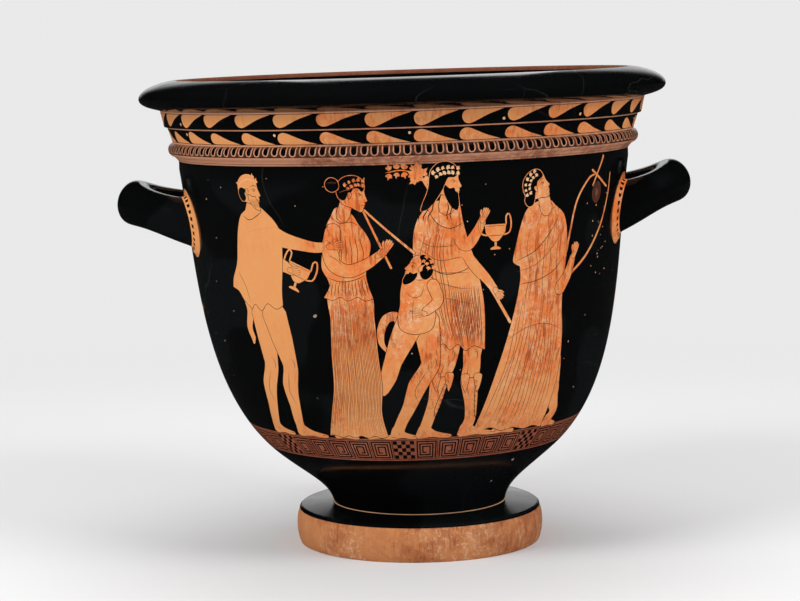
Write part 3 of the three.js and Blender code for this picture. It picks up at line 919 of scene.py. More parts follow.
def draped_youth(painting, angle, seed, facing, scale=1.0, cup=False):
    """A standing youth wrapped in a long cloak, as is usual on a pot's plainer side."""
    b = Brush(painting, angle, seed, facing, scale)
    foot(b, (-14, 105.2), 20, 8)
    foot(b, (2, 105.0), 22, 8)
    left = [(-14, 276), (-20, 250), (-19, 215), (-18, 180), (-17, 150), (-15, 118)]
    right = [(14, 276), (19, 250), (18, 215), (17, 180), (16, 150), (16, 118)]
    b.area([(2, 288), (-8, 286), (-17, 280), (-21, 264), (-23, 248), (-20, 220), (-19, 180), (-18, 140),
            (-16, 117, 0), (-8, 119.5), (0, 115.5), (8, 118.5), (17, 114.5, 0), (17, 150), (18, 185),
            (19, 220), (22, 246), (20, 264), (14, 278), (8, 285)])
    b.stroke([(-20, 262), (-8, 270), (4, 280), (10, 284)], 0.5)
    b.stroke([(-22, 246), (-6, 250), (8, 262), (18, 274)], 0.5)
    b.folds(left, right, (0.14, 0.3, 0.5, 0.7, 0.86), 0.5, GLOSS, 0.35, 1.0, 1.2)
    b.folds(left, right, (0.22, 0.4, 0.6, 0.78), 0.45, THIN, 0.3, 1.0, 1.2)
    b.stroke([(-19, 226), (-4, 222), (10, 230), (20, 244)], 0.5)
    if cup:
        b.limb([(14, 256, 5.0), (24, 250, 4.0), (31, 254, 3.0)])
        hand(b, (34, 256), 0.6, 7.5)
    b.limb([(0, 282, 5.6), (1, 294, 5.2)])
    head(b, (-2.0, 288.0), 23.5)
    hair(b, [(0.36, 0.72), (0.24, 0.66), (0.08, 0.64), (0.0, 0.52), (-0.10, 0.42), (-0.16, 0.26),
             (-0.30, 0.20), (-0.44, 0.38), (-0.48, 0.62), (-0.40, 0.88), (-0.16, 1.04), (0.10, 1.05),
             (0.28, 0.96)])
    ear(b)
    b.stack.pop()


# ---- The handles and the painted wall as one mesh

def handle_point(handle, t, turn):
    """A point on the bent bar, and the way out from its middle. t runs from root to root."""
    angle = (t - 0.5) * PI
    rise = handle["tip_z"] - handle["root_z"]
    reach = handle["tip"] - HANDLE_REACH
    outward, spread = math.cos(angle), math.sin(angle)
    slope = math.atan2(rise, reach)
    centre = np.array([HANDLE_REACH + reach * outward, HANDLE_SPREAD * spread,
                       handle["root_z"] + rise * outward])
    depth = handle["tip_depth"] + (handle["root_depth"] - handle["tip_depth"]) * abs(spread) ** HANDLE_FLARE
    depth -= HANDLE_WAIST * math.sin(PI * spread * spread)
    up = np.array([-math.sin(slope), -HANDLE_SPLAY * spread, math.cos(slope)]) * depth
    across = np.array([outward * HANDLE_SPREAD * math.cos(slope), spread * reach,
                       outward * HANDLE_SPREAD * math.sin(slope)])
    across *= HANDLE_HALF_WIDTH / np.linalg.norm(across)
    offset = across * math.sin(turn) + up * math.cos(turn)
    side = np.array([handle["side"], handle["side"], 1.0])
    return (centre + offset) * side, offset / np.linalg.norm(offset) * side


def wall_gap(point):
    """How far a point stands out from the outer wall."""
    return math.hypot(point[0], point[1]) - float(OUTLINE.radius(point[2]))


def handle_rows(handle):
    """For each line along the bar, its points from one wall to the other, with a fillet at each root."""
    rows = []
    for j in range(HANDLE_SIDES):
        turn = 2 * PI * j / HANDLE_SIDES
        ends = []
        for start, step in ((0.0, 0.01), (1.0, -0.01)):
            t = start
            while wall_gap(handle_point(handle, t, turn)[0]) <= 0:
                t += step
            low, high = t - step, t
            for _ in range(24):
                middle = (low + high) / 2
                if wall_gap(handle_point(handle, middle, turn)[0]) <= 0:
                    low = middle
                else:
                    high = middle
            ends.append((low + high) / 2)
        speed = 1000 * np.linalg.norm(handle_point(handle, ends[0] + 0.001, turn)[0]
                                      - handle_point(handle, ends[0], turn)[0])
        reach = ROOT_FILLET / speed
        between = np.linspace(ends[0] + reach, ends[1] - reach, HANDLE_RINGS + 1)
        rows.append([fillet_point(handle, ends[0] + step / speed, turn, step) for step in FILLET_STEPS]
                    + [handle_point(handle, t, turn)[0] for t in between]
                    + [fillet_point(handle, ends[1] - step / speed, turn, step)
                       for step in reversed(FILLET_STEPS)])
    return np.array(rows)


def fillet_point(handle, t, turn, step):
    """A point of the fillet that joins bar and wall, this far out along the bar."""
    point, outward = handle_point(handle, t, turn)
    rise = ROOT_FILLET - math.sqrt(ROOT_FILLET ** 2 - (ROOT_FILLET - step) ** 2)
    point = point + outward * rise
    gap = wall_gap(point)
    clear = 0.0 if step == 0 else max(gap, 0.12 * step)
    point[:2] *= 1 + (clear - gap) / math.hypot(point[0], point[1])
    return point


def on_wall(points):
    """Wall place (x, s) of points that lie on the outer wall."""
    x = np.arctan2(points[:, 0], -points[:, 1]) * REF
    x = np.where(x < -TURN + 1e-9, x + 2 * TURN, x)
    return np.stack([x, OUTLINE.s_at(points[:, 2])], 1)


def root_band(painting, loop):
    """The part of the reserved ring round a handle root that lies on the wall."""
    painting.add(FIGURE, grown(loop, ROOT_RIM))
    rim, inner = grown(loop, 1.15), grown(loop, 0.85)
    for k in range(len(loop)):
        n = (k + 1) % len(loop)
        painting.add(THIN, [inner[k], inner[n], rim[n], rim[k]])


def root_paint(ring, column):
    """Paint of the handle near a root: a reserved ring, with a row of dark dashes on it."""
    count = HANDLE_RINGS + 2 * len(FILLET_STEPS)
    near = min(ring, count - 1 - ring)
    dash = near in DASH_RINGS and column % 2 == 0
    return GLOSS if dash or near > RESERVED_RINGS else FIGURE


def inside(outline, points):
    """Which points lie inside a closed outline, by how often it winds round them."""
    x0, y0 = outline[:, 0][None, :], outline[:, 1][None, :]
    x1, y1 = np.roll(outline[:, 0], -1)[None, :], np.roll(outline[:, 1], -1)[None, :]
    px, py = points[:, 0][:, None], points[:, 1][:, None]
    side = (x1 - x0) * (py - y0) - (px - x0) * (y1 - y0)
    up = (y0 <= py) & (y1 > py) & (side > 0)
    down = (y0 > py) & (y1 <= py) & (side < 0)
    return (up.sum(1) - down.sum(1)) != 0


def wall_rows():
    """Lengths along the outline at which the painted wall has a full row of points."""
    low, high = float(OUTLINE.s_at(PAINT_LOW)), OUTLINE.mark(LIP_BASE)
    neck = [float(OUTLINE.s_at(z)) for z in NECK_HEIGHTS]
    neck += list(np.linspace(float(OUTLINE.s_at(RING_LOW)) + 0.4, float(OUTLINE.s_at(RING_HIGH)) - 0.3, 8))
    ledge = float(OUTLINE.s_at(NECK_LEDGE))
    neck += [ledge + by for by in (-0.9, 0.3, 2.4, 3.6)] + [high - 0.8]
    body = list(np.linspace(low, neck[0], BODY_ROWS))[:-1]
    return low, high, body, sorted(neck)


class WallNet:
    """The points and lines that the wall's triangles have to follow."""

    def __init__(self):
        self.low, self.high, self.body, self.neck = wall_rows()
        self.verts = []
        self.edges = []

    def chain(self, points, closed):
        first, count = len(self.verts), len(points)
        self.verts.extend(points)
        for i in range(count if closed else count - 1):
            self.edges.append((first + i, first + (i + 1) % count))

    def lay_rows(self):
        """Full lines of points on the neck and at both ends, and loose staggered points on the body."""
        xs = np.linspace(-TURN, TURN, COLUMNS + 1)
        for row in [self.low] + self.neck + [self.high]:
            self.chain([(x, row) for x in xs], False)
        for i, row in enumerate(self.body[1:]):
            shift = 0.5 if i % 2 else 0.0
            self.verts += [(-TURN, row), (TURN, row)]
            self.verts += [(x + shift * (xs[1] - xs[0]) * 0.999, row) for x in xs[1:-1]]
        sides = sorted([self.low, self.high] + self.neck + self.body[1:])
        for x in (-TURN, TURN):
            self.chain([(x, row) for row in sides], False)

    def lay_shape(self, outline):
        """A painted edge, with points close enough to follow the wall. Only bands cross the back seam."""
        points = []
        for a, b in zip(outline, np.roll(outline, -1, 0)):
            across = abs(b[0] - a[0]) > LONG_EDGE
            steps = COLUMNS if across else max(1, int(np.linalg.norm(b - a) / EDGE_STEP))
            points.extend(a + (b - a) * (k / steps) for k in range(steps))
        round_pot = np.ptp(outline[:, 0]) > 2 * TURN - 1
        limit = TURN if round_pot else TURN - SEAM_GAP
        self.chain([(min(limit, max(-limit, x)), min(self.high - 0.05, max(self.low + 0.05, s)))
                    for x, s in points], True)


def paints_at(painting, places):
    """The paint that was laid last over each place on the wall."""
    order = np.argsort(places[:, 0])
    ordered = places[order]
    paints = np.zeros(len(places), int)
    for paint, outline in painting.shapes:
        least, most = outline.min(0), outline.max(0)
        start, end = np.searchsorted(ordered[:, 0], (least[0], most[0]))
        span = ordered[start:end]
        near = np.nonzero((span[:, 1] > least[1]) & (span[:, 1] < most[1]))[0]
        if len(near):
            hit = near[inside(outline, span[near])]
            paints[order[start + hit]] = paint
    return paints


def painted_wall(painting, loops):
    """Triangles of the wall that follow every painted edge, with a paint for each."""
    net = WallNet()
    net.lay_rows()
    for loop in loops:
        net.chain(loop, True)
    for _, outline in painting.shapes:
        net.lay_shape(outline)
    result = delaunay_2d_cdt([Vector(v) for v in net.verts], net.edges, [], 0, SLIVER, False)
    points, triangles = np.array(result[0]), np.array(result[2])
    middles = points[triangles].mean(1)
    kept = np.ones(len(triangles), bool)
    for loop in loops:
        kept &= ~inside(loop, middles)
    return points, triangles[kept], paints_at(painting, middles)[kept]


def wall_positions(points):
    radius, height = OUTLINE.at(points[:, 1])
    angle = points[:, 0] / REF
    return np.stack([radius * np.sin(angle), -radius * np.cos(angle), height], 1)


def paint_everything(loops):
    """All the painting, in the order it is laid: what comes later covers what came before."""
    painting = Painting()
    nicks(painting)
    meander_band(painting)
    tongue_ring(painting)
    laurel_rows(painting)
    draped_youth(painting, PI - 1.02, 41, -1)
    draped_youth(painting, PI - 0.34, 42, 1, cup=True)
    draped_youth(painting, -PI + 0.54, 43, -1)
    draped_youth(painting, 1.50, 44, -1, 0.62)
    draped_youth(painting, -1.52, 45, 1, 0.62, cup=True)
    for loop in loops:
        root_band(painting, loop)
    lyre_player(painting)
    staff_bearer(painting)
    small_satyr(painting)
    piper(painting)
    bearded_reveller(painting)
    reaching_arm(painting)
    return painting


def spun(mesh, lengths, paint):
    """A plain turned stretch of the pot: its outline spun full circle. The seam is at the back."""
    before = set(mesh.faces)
    ring = []
    for s in lengths:
        radius, height = OUTLINE.at(s)
        ring.append(mesh.verts.new((0.0, float(radius), float(height))))
    edges = [mesh.edges.new(pair) for pair in zip(ring[:-1], ring[1:])]
    bmesh.ops.spin(mesh, geom=ring + edges, cent=(0, 0, 0), axis=(0, 0, 1), dvec=(0, 0, 0),
                   angle=2 * PI, steps=COLUMNS, use_merge=True)
    for face in mesh.faces:
        if face not in before:
            face.material_index = paint
            face.smooth = True


def lengths_between(start, end, size):
    count = max(1, int(round(abs(end - start) / size)))
    return list(np.linspace(start, end, count + 1))


def plain_zones(mesh):
    """The unpainted stretches, in order along the outline: paint, then start, end and facet size."""
    low, high = wall_rows()[:2]
    ground, edge, stem = (OUTLINE.mark(point) for point in (FOOT_HOLLOW, FOOT_TOP, STEM_BASE))
    crest, inner = OUTLINE.mark(INNER_CREST), OUTLINE.mark(INNER_LINE_END)
    ring = ground + 15.2
    for paint, *runs in (
            (FOOT, (0, ground - 0.8, 13), (ground + 0.8, ring, 5)),
            (FOOT, (ring, ring + 1.8, 0.9), (ring + 4, edge - 2.4, 3.2), (edge - 1.8, edge, 0.45)),
            (GLOSS, (edge, edge + 4.2, 0.7), (edge + 7, stem - 2.6, 5)),
            (GLOSS, (stem - 2.6, stem - 0.9, 0.85)),
            (PALE, (stem - 0.9, stem + 0.3, 0.4)),
            (GLOSS, (stem + 0.3, stem + 3, 0.9), (stem + 6, low, 4)),
            (GLOSS, (high, high + 2.4, 0.8), (high + 4.5, crest, 2.6)),
            (WASH, (crest, inner, 1.0)),
            (GLOSS, (inner, inner + 4, 1.3), (inner + 10, OUTLINE.s[-1], 12))):
        spun(mesh, [s for run in runs for s in lengths_between(*run)], paint)


def add_face(mesh, corners, paint):
    face = mesh.faces.new(corners)
    face.material_index = int(paint)
    face.smooth = True


def add_handle(mesh, grid):
    """A handle's skin from its rows of points, each running from one wall to the other."""
    made = [[mesh.verts.new(point) for point in row] for row in grid]
    for j, row in enumerate(made):
        beside = made[(j + 1) % HANDLE_SIDES]
        for i in range(len(row) - 1):
            add_face(mesh, (row[i], beside[i], beside[i + 1], row[i + 1]), root_paint(i, j))
    return [vert for row in made for vert in row]


def krater_mesh():
    """The whole pot before its sag, in mm, with a mark on the handles' points."""
    rows = [handle_rows(handle) for handle in HANDLES]
    loops = [on_wall(bar_rows[:, k]) for bar_rows in rows for k in (0, -1)]
    painting = paint_everything(loops)
    points, triangles, paints = painted_wall(painting, loops)
    mesh = bmesh.new()
    marker = mesh.verts.layers.int.new("handle")
    plain_zones(mesh)
    corners = [mesh.verts.new(p) for p in wall_positions(points)]
    for triangle, paint in zip(triangles, paints):
        add_face(mesh, [corners[i] for i in triangle], paint)
    for bar_rows, pair in zip(rows, (loops[:2], loops[2:])):
        # The bar's ends are put exactly on the wall's own points
        bar_rows[:, 0], bar_rows[:, -1] = [wall_positions(loop) for loop in pair]
        for vert in add_handle(mesh, bar_rows):
            vert[marker] = 1
    loose = [v for v in mesh.verts if not v.link_faces]
    bmesh.ops.delete(mesh, geom=loose, context="VERTS")
    bmesh.ops.remove_doubles(mesh, verts=mesh.verts, dist=MERGE)
    bmesh.ops.dissolve_degenerate(mesh, dist=SLIVER, edges=mesh.edges)
    # Slits of no width, left where a sliver of a triangle was dissolved
    slits = [edge for edge in mesh.edges if len(edge.link_faces) == 1]
    bmesh.ops.holes_fill(mesh, edges=slits, sides=6)
    bmesh.ops.recalc_face_normals(mesh, faces=mesh.faces)
    return mesh


def turned_normals(places):
    """Normals of the turned surface, from the nearest place on its outline."""
    radius = np.hypot(places[:, 0], places[:, 1])
    flat = np.stack([radius, places[:, 2]], 1)
    out = np.zeros((len(places), 3))
    for start in range(0, len(flat), CHUNK):
        part = slice(start, start + CHUNK)
        gaps = (flat[part][:, None, :] - OUTLINE.points[None, :, :]) ** 2
        normal = OUTLINE.normals[gaps.sum(2).argmin(1)]
        safe = np.maximum(radius[part], 1e-6)
        for k in (0, 1):
            out[part, k] = normal[:, 0] * places[part, k] / safe
        out[part, 2] = normal[:, 1]
    return out


def foot_centre():
    """Where the foot's middle lies in the row frame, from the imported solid, in metres."""
    lowest = [v.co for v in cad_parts["krater"].data.vertices if v.co.z < MM]
    return tuple((min(p[k] for p in lowest) + max(p[k] for p in lowest)) / 2 for k in (0, 1))


# ---- Materials

class Nodes:
    """Short ways to add and join shader nodes in one tree."""

    def __init__(self, tree):
        self.tree = tree

    def new(self, kind, **values):
        node = self.tree.nodes.new(kind)
        for name, value in values.items():
            setattr(node, name, value)
        return node

    def join(self, source, target):
        self.tree.links.new(source, target)

    def feed(self, node, values):
        """Gives a node its inputs, by name or number: a value, a colour or another node's output."""
        for slot, value in values.items():
            if isinstance(value, (int, float)):
                node.inputs[slot].default_value = value
            elif isinstance(value, tuple):
                node.inputs[slot].default_value = (*value[:3], 1.0)
            else:
                self.join(value, node.inputs[slot])
        return node

    def noise(self, vector, scale, detail=3.0, rough=0.5, distortion=0.0):
        node = self.feed(self.new("ShaderNodeTexNoise"), {
            "Vector": vector, "Scale": scale, "Detail": detail, "Roughness": rough,
            "Distortion": distortion})
        return node.outputs["Fac"]

    def ramp(self, value, low, high):
        node = self.new("ShaderNodeMapRange", clamp=True, interpolation_type="SMOOTHSTEP")
        self.feed(node, {"Value": value, "From Min": low, "From Max": high})
        return node.outputs["Result"]

    def maths(self, kind, a, b):
        return self.feed(self.new("ShaderNodeMath", operation=kind), {0: a, 1: b}).outputs[0]

    def times(self, a, b):
        return self.maths("MULTIPLY", a, b)

    def plus(self, a, b):
        return self.maths("ADD", a, b)

    def mix(self, factor, a, b):
        """Mixes two colours."""
        return self.feed(self.new("ShaderNodeMix", data_type="RGBA"), {0: factor, 6: a, 7: b}).outputs[2]

    def number_mix(self, factor, a, b):
        return self.feed(self.new("ShaderNodeMix", data_type="FLOAT"), {0: factor, 2: a, 3: b}).outputs[0]

    def axes(self, vector):
        """The X, Y and Z of a vector."""
        return self.feed(self.new("ShaderNodeSeparateXYZ"), {0: vector}).outputs


def group(name, inputs, outputs):
    tree = bpy.data.node_groups.new(name, "ShaderNodeTree")
    for label, kind, value in inputs:
        socket = tree.interface.new_socket(name=label, in_out="INPUT", socket_type=kind)
        if value is not None:
            socket.default_value = value
    for label, kind in outputs:
        tree.interface.new_socket(name=label, in_out="OUTPUT", socket_type=kind)
    nodes = Nodes(tree)
    return tree, nodes, nodes.new("NodeGroupInput"), nodes.new("NodeGroupOutput")


def wear_group():
    """Old surface wear: tiny chips and pits, hairline cracks, and a film of dust."""
    tree, n, source, out = group("Old pot wear", [
        ("Vector", "NodeSocketVector", None),
        ("Chips", "NodeSocketFloat", 0.5),
        ("Cracks", "NodeSocketFloat", 0.5)], [
        ("Chips", "NodeSocketFloat"), ("Cracks", "NodeSocketFloat"), ("Film", "NodeSocketFloat"),
        ("Height", "NodeSocketFloat")])
    place = source.outputs["Vector"]
    # Chips: a few cells of a fine cell pattern have a small jagged pit, in some areas only
    cells = n.feed(n.new("ShaderNodeTexVoronoi", feature="F1"), {"Scale": 60.0, "Vector": place})
    pick = n.feed(n.new("ShaderNodeSeparateColor"), {0: cells.outputs["Color"]})
    chosen = n.ramp(pick.outputs[0], 0.86, 0.97)
    jag = n.noise(place, 420.0, 2.0)
    size = n.times(chosen, n.times(jag, 0.17))
    chip = n.ramp(n.maths("SUBTRACT", size, cells.outputs["Distance"]), 0.0, 0.012)
    where = n.ramp(n.noise(place, 9.0, 2.0), 0.46, 0.62)
    chips = n.times(n.times(chip, where), source.outputs["Chips"])
    # Cracks: the edges of large bent cells, in some areas only
    warp = n.feed(n.new("ShaderNodeTexNoise"), {"Scale": 14.0, "Vector": place})
    bend = n.new("ShaderNodeVectorMath", operation="MULTIPLY_ADD")
    bend.inputs[1].default_value = (0.03, 0.03, 0.03)
    n.feed(bend, {0: warp.outputs["Color"], 2: place})
    shards = n.new("ShaderNodeTexVoronoi", feature="DISTANCE_TO_EDGE")
    n.feed(shards, {"Scale": 7.5, "Vector": bend.outputs[0]})
    hair_line = n.ramp(shards.outputs["Distance"], 0.0042, 0.0008)
    some = n.ramp(n.noise(place, 6.0, 1.0), 0.50, 0.60)
    cracks = n.times(n.times(hair_line, some), source.outputs["Cracks"])
    film = n.ramp(n.noise(place, 22.0, 5.0, 0.6), 0.38, 0.72)
    dip = n.times(n.plus(chips, n.times(cracks, 0.4)), -1.0)
    n.feed(out, {"Chips": chips, "Cracks": cracks, "Film": film, "Height": dip})
    return tree


def stain_amount(n, place, amount):
    """How stained a place is: all the front but its left end is, less so low down and on the neck."""
    x, y, z = n.axes(place)
    reach = n.ramp(x, -0.092, -0.062)
    behind = n.ramp(y, 0.02, 0.08)
    high = n.times(n.ramp(z, 0.135, 0.175), n.maths("SUBTRACT", 1.0, n.ramp(z, 0.318, 0.330)))
    spread = n.times(n.maths("MAXIMUM", reach, behind), n.plus(0.45, n.times(high, 0.55)))
    return n.times(amount, n.plus(0.10, n.times(spread, 0.90)))


def mottle_group():
    """Clay that has kept a reddish wash in some places and gone pale in others."""
    tree, n, source, out = group("Clay mottling", [
        ("Vector", "NodeSocketVector", None),
        ("Clay", "NodeSocketColor", (0.7, 0.3, 0.1, 1)),
        ("Red", "NodeSocketColor", (0.5, 0.12, 0.04, 1)),
        ("Pale", "NodeSocketColor", (0.8, 0.6, 0.4, 1)),
        ("Amount", "NodeSocketFloat", 0.5)], [("Color", "NodeSocketColor"), ("Grain", "NodeSocketFloat")])
    place = source.outputs["Vector"]
    amount = stain_amount(n, place, source.outputs["Amount"])
    # Red: fine patches, stronger in some broad areas, with upright brush streaks
    broad = n.ramp(n.noise(place, 19.0, 2.0), 0.38, 0.57)
    red = n.ramp(n.noise(place, 105.0, 7.0, 0.76, 0.3), 0.43, 0.55)
    streaks = n.new("ShaderNodeMapping")
    streaks.inputs["Scale"].default_value = (1.0, 1.0, 0.12)
    n.join(place, streaks.inputs["Vector"])
    brush = n.ramp(n.noise(streaks.outputs[0], 260.0, 3.0, 0.6), 0.42, 0.66)
    red = n.times(red, n.plus(0.50, n.times(broad, 0.75)))
    red = n.times(n.plus(red, n.times(brush, 0.22)), amount)
    # Pale: small flecks, denser where the surface is worn
    moved = n.new("ShaderNodeVectorMath", operation="ADD")
    moved.inputs[1].default_value = (3.1, 1.7, 0.4)
    n.join(place, moved.inputs[0])
    worn = n.ramp(n.noise(moved.outputs[0], 24.0, 2.0), 0.42, 0.62)
    flecks = n.ramp(n.noise(moved.outputs[0], 240.0, 6.0, 0.75, 0.2), 0.52, 0.58)
    soft = n.ramp(n.noise(moved.outputs[0], 60.0, 4.0, 0.6), 0.40, 0.68)
    pale = n.plus(n.times(flecks, n.plus(0.25, worn)), n.times(soft, n.times(worn, 0.45)))
    pale = n.times(n.times(pale, 0.60), amount)
    shade = n.mix(n.maths("MINIMUM", red, 1.0), source.outputs["Clay"], source.outputs["Red"])
    shade = n.mix(n.maths("MINIMUM", pale, 0.85), shade, source.outputs["Pale"])
    # Deep red-brown streaks, in the broad red areas
    deep = n.ramp(n.noise(streaks.outputs[0], 330.0, 5.0, 0.75, 0.3), 0.50, 0.62)
    deep = n.times(n.plus(n.times(deep, 0.8), 0.1), broad)
    deep = n.maths("MINIMUM", n.times(deep, n.times(amount, 1.3)), 0.9)
    darker = n.mix(0.6, source.outputs["Red"], (0.22, 0.018, 0.004))
    n.feed(out, {"Color": n.mix(deep, shade, darker), "Grain": n.noise(place, 900.0, 2.0)})
    return tree


def start_material(name):
    material = bpy.data.materials.new(name)
    material.use_nodes = True
    tree = material.node_tree
    tree.nodes.clear()
    nodes = Nodes(tree)
    shader = nodes.new("ShaderNodeBsdfPrincipled")
    output = nodes.new("ShaderNodeOutputMaterial")
    nodes.join(shader.outputs[0], output.inputs[0])
    place = nodes.new("ShaderNodeTexCoord").outputs["Object"]
    return material, nodes, shader, place


def add_group(nodes, tree, place, **values):
    node = nodes.new("ShaderNodeGroup", node_tree=tree)
    return nodes.feed(node, {"Vector": place, **values}).outputs


def bumped(nodes, height, strength):
    bump = nodes.new("ShaderNodeBump")
    return nodes.feed(bump, {"Strength": strength, "Distance": BUMP_DEPTH, "Height": height}).outputs[0]


def gloss_material(looks, wear):
    material, n, shader, place = start_material("Black gloss")
    worn = add_group(n, wear, place, Chips=looks.chips, Cracks=looks.cracks)
    # Slightly greyer, bluish patches at random in the gloss, on the body only
    cloud = n.times(n.ramp(n.noise(place, 12.0, 1.5, 0.4), 0.52, 0.56),
                    n.ramp(n.axes(place)[2], 0.310, 0.290))
    base = n.mix(n.times(cloud, 0.65), tuple(looks.gloss), tuple(looks.clouded))
    base = n.mix(n.times(worn["Cracks"], 0.12), base, (0.16, 0.14, 0.12))
    base = n.mix(worn["Chips"], base, (0.55, 0.40, 0.30))
    rough = n.plus(n.plus(0.12, n.times(worn["Film"], 0.09)), n.times(worn["Chips"], 0.5))
    height = n.plus(worn["Height"], n.times(n.noise(place, 45.0, 3.0), 0.25))
    n.feed(shader, {"Base Color": base, "Roughness": rough, "Specular IOR Level": 0.42,
                    "Normal": bumped(n, height, 0.35)})
    return material


def clay_material(groups, name, clay, red, pale, amount, rough, chips, bump=0.25):
    """Unglossed paint: its own colour, how far and in which colours it is stained, and its wear."""
    material, n, shader, place = start_material(name)
    worn = add_group(n, groups[0], place, Chips=chips, Cracks=0.5)
    stained = add_group(n, groups[1], place, Clay=clay, Red=red, Pale=pale, Amount=amount)
    base = n.mix(n.times(worn["Cracks"], 0.5), stained["Color"], (0.10, 0.05, 0.03))
    base = n.mix(n.times(worn["Chips"], 0.7), base, (0.86, 0.70, 0.54))
    height = n.plus(worn["Height"], n.times(stained["Grain"], 0.35))
    n.feed(shader, {"Base Color": base, "Roughness": n.plus(rough, n.times(worn["Film"], 0.12)),
                    "Specular IOR Level": 0.3, "Normal": bumped(n, height, bump)})
    return material


def paint_materials(looks):
    """One material for each paint, in the order of the paints."""
    groups = wear_group(), mottle_group()
    clay, stain, pale = tuple(looks.clay), tuple(looks.stain), tuple(looks.pale)
    clays = (
        ("Figure clay", clay, stain, pale, 1.0, 0.42, 0.4),
        ("Band clay", tuple(looks.band), (0.27, 0.085, 0.04), (0.62, 0.36, 0.25), 0.6, 0.45, 0.6),
        ("Foot clay", tuple(looks.foot), (0.38, 0.12, 0.04), (0.72, 0.46, 0.27), 1.3, 0.62, 1.0, 0.5),
        ("Thinned gloss", (0.055, 0.022, 0.012), (0.10, 0.03, 0.015), (0.20, 0.09, 0.05), 0.3, 0.35, 0.2),
        ("Red wash", (0.17, 0.055, 0.026), (0.11, 0.03, 0.015), (0.28, 0.13, 0.08), 0.8, 0.5, 0.4),
        ("Pale clay", (0.80, 0.50, 0.28), clay, pale, 0.5, 0.5, 0.3),
        ("Key pattern clay", tuple(looks.key), (0.20, 0.05, 0.024), (0.46, 0.22, 0.14), 0.9, 0.45, 0.4),
    )
    return [gloss_material(looks, groups[0])] + [clay_material(groups, *values) for values in clays]


# ---- Settings, operators and panel

def colour_setting(name, description, default):
    return bpy.props.FloatVectorProperty(name=name, description="Colour of " + description, subtype="COLOR",
                                         size=3, min=0, max=1, default=default)


def share_setting(name, description, default):
    return bpy.props.FloatProperty(name=name, description=description, subtype="FACTOR", min=0, max=1,
                                   default=default)


def amount_setting(name, description, default, unit="NONE", least=0):
    return bpy.props.FloatProperty(name=name, description=description, unit=unit, min=least,
                                   default=default)


class KraterLooks(bpy.types.PropertyGroup):
    gloss: colour_setting("Gloss", "the black gloss", (0.0022, 0.0024, 0.0026))
    # Colour of the slightly greyer, bluish patches that lie at random in the body's gloss
    clouded: colour_setting("Clouded gloss", "the slightly greyer mended areas", (0.0052, 0.0066, 0.0070))
    clay: colour_setting("Figure clay", "the reserved clay of the figures", (0.75, 0.31, 0.098))
    band: colour_setting("Band clay", "the reserved clay of the ornament bands", (0.60, 0.27, 0.15))
    key: colour_setting("Key pattern clay", "the browner clay between the key pattern's lines",
                        (0.33, 0.088, 0.038))
    foot: colour_setting("Foot clay", "the bare clay on the foot's side", (0.54, 0.21, 0.075))
    stain: colour_setting("Red stain", "the reddish stain on the figures", (0.78, 0.185, 0.034))
    pale: colour_setting("Pale patches", "the pale worn patches", (0.79, 0.44, 0.24))
    chips: share_setting("Chips", "How many small chips the gloss has", 0.9)
    cracks: share_setting("Cracks", "How strongly hairline cracks show in the gloss", 0.6)


class StageSettings(bpy.types.PropertyGroup):
    floor: colour_setting("Floor", "the floor", (0.69, 0.69, 0.695))
    light: amount_setting("Light", "Power of the main lamp in watts", 50.0)
    fill: amount_setting("Fill light", "Brightness of the soft light from all round", 0.5)
    backdrop: amount_setting("Backdrop", "Brightness of the backdrop behind the pot", 0.82)
    distance: amount_setting("Camera distance", "From the foot's middle to the camera", 1.8422, "LENGTH",
                             0.5)
    camera_height: amount_setting("Camera height", "Camera above the floor", 0.3942, "LENGTH")


def add_object(context, name, data):
    item = bpy.data.objects.new(name, data)
    context.scene.collection.objects.link(item)
    return item


def vertex_vectors(data, name):
    """A vector of each vertex of a mesh: its place or its normal."""
    values = np.empty(len(data.vertices) * 3)
    data.vertices.foreach_get(name, values)
    return values.reshape(-1, 3)


def count_open_edges(data):
    uses = np.zeros(len(data.edges), int)
    index = np.empty(len(data.loops), int)
    data.loops.foreach_get("edge_index", index)
    np.add.at(uses, index, 1)
    return int((uses != 2).sum())


class KRATER_OT_vessel(bpy.types.Operator):
    """Builds the whole pot as one piece: turned body, handles and painting"""
    bl_idname = "krater.vessel"
    bl_label = "Krater"

    def execute(self, context):
        shape = krater_mesh()
        data = bpy.data.meshes.new("krater_painted")
        marker = shape.verts.layers.int["handle"]
        on_handle = np.array([v[marker] for v in shape.verts], bool)
        shape.to_mesh(data)
        shape.free()
        places = vertex_vectors(data, "co")
        normals = sagged_normals(places, turned_normals(places))
        data.vertices.foreach_set("co", (sag(places) * MM + np.array([*foot_centre(), 0])).ravel())
        for material in paint_materials(context.scene.krater_looks):
            data.materials.append(material)
        data.update()
        # Handles keep the mesh's own normals; the turned wall gets its exact ones, facing the same way
        own = vertex_vectors(data, "normal")
        facing = np.sign((own * normals).sum(1))[:, None]
        normals = np.where(on_handle[:, None], own, normals * np.where(facing == 0, 1, facing))
        data.normals_split_custom_set_from_vertices([tuple(n) for n in normals])
        data.attributes.remove(data.attributes["handle"])
        piece = add_object(context, "krater_painted", data)
        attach(piece, "root")
        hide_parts("krater")
        print("krater:", len(data.polygons), "faces,", count_open_edges(data), "open edges")
        return {"FINISHED"}


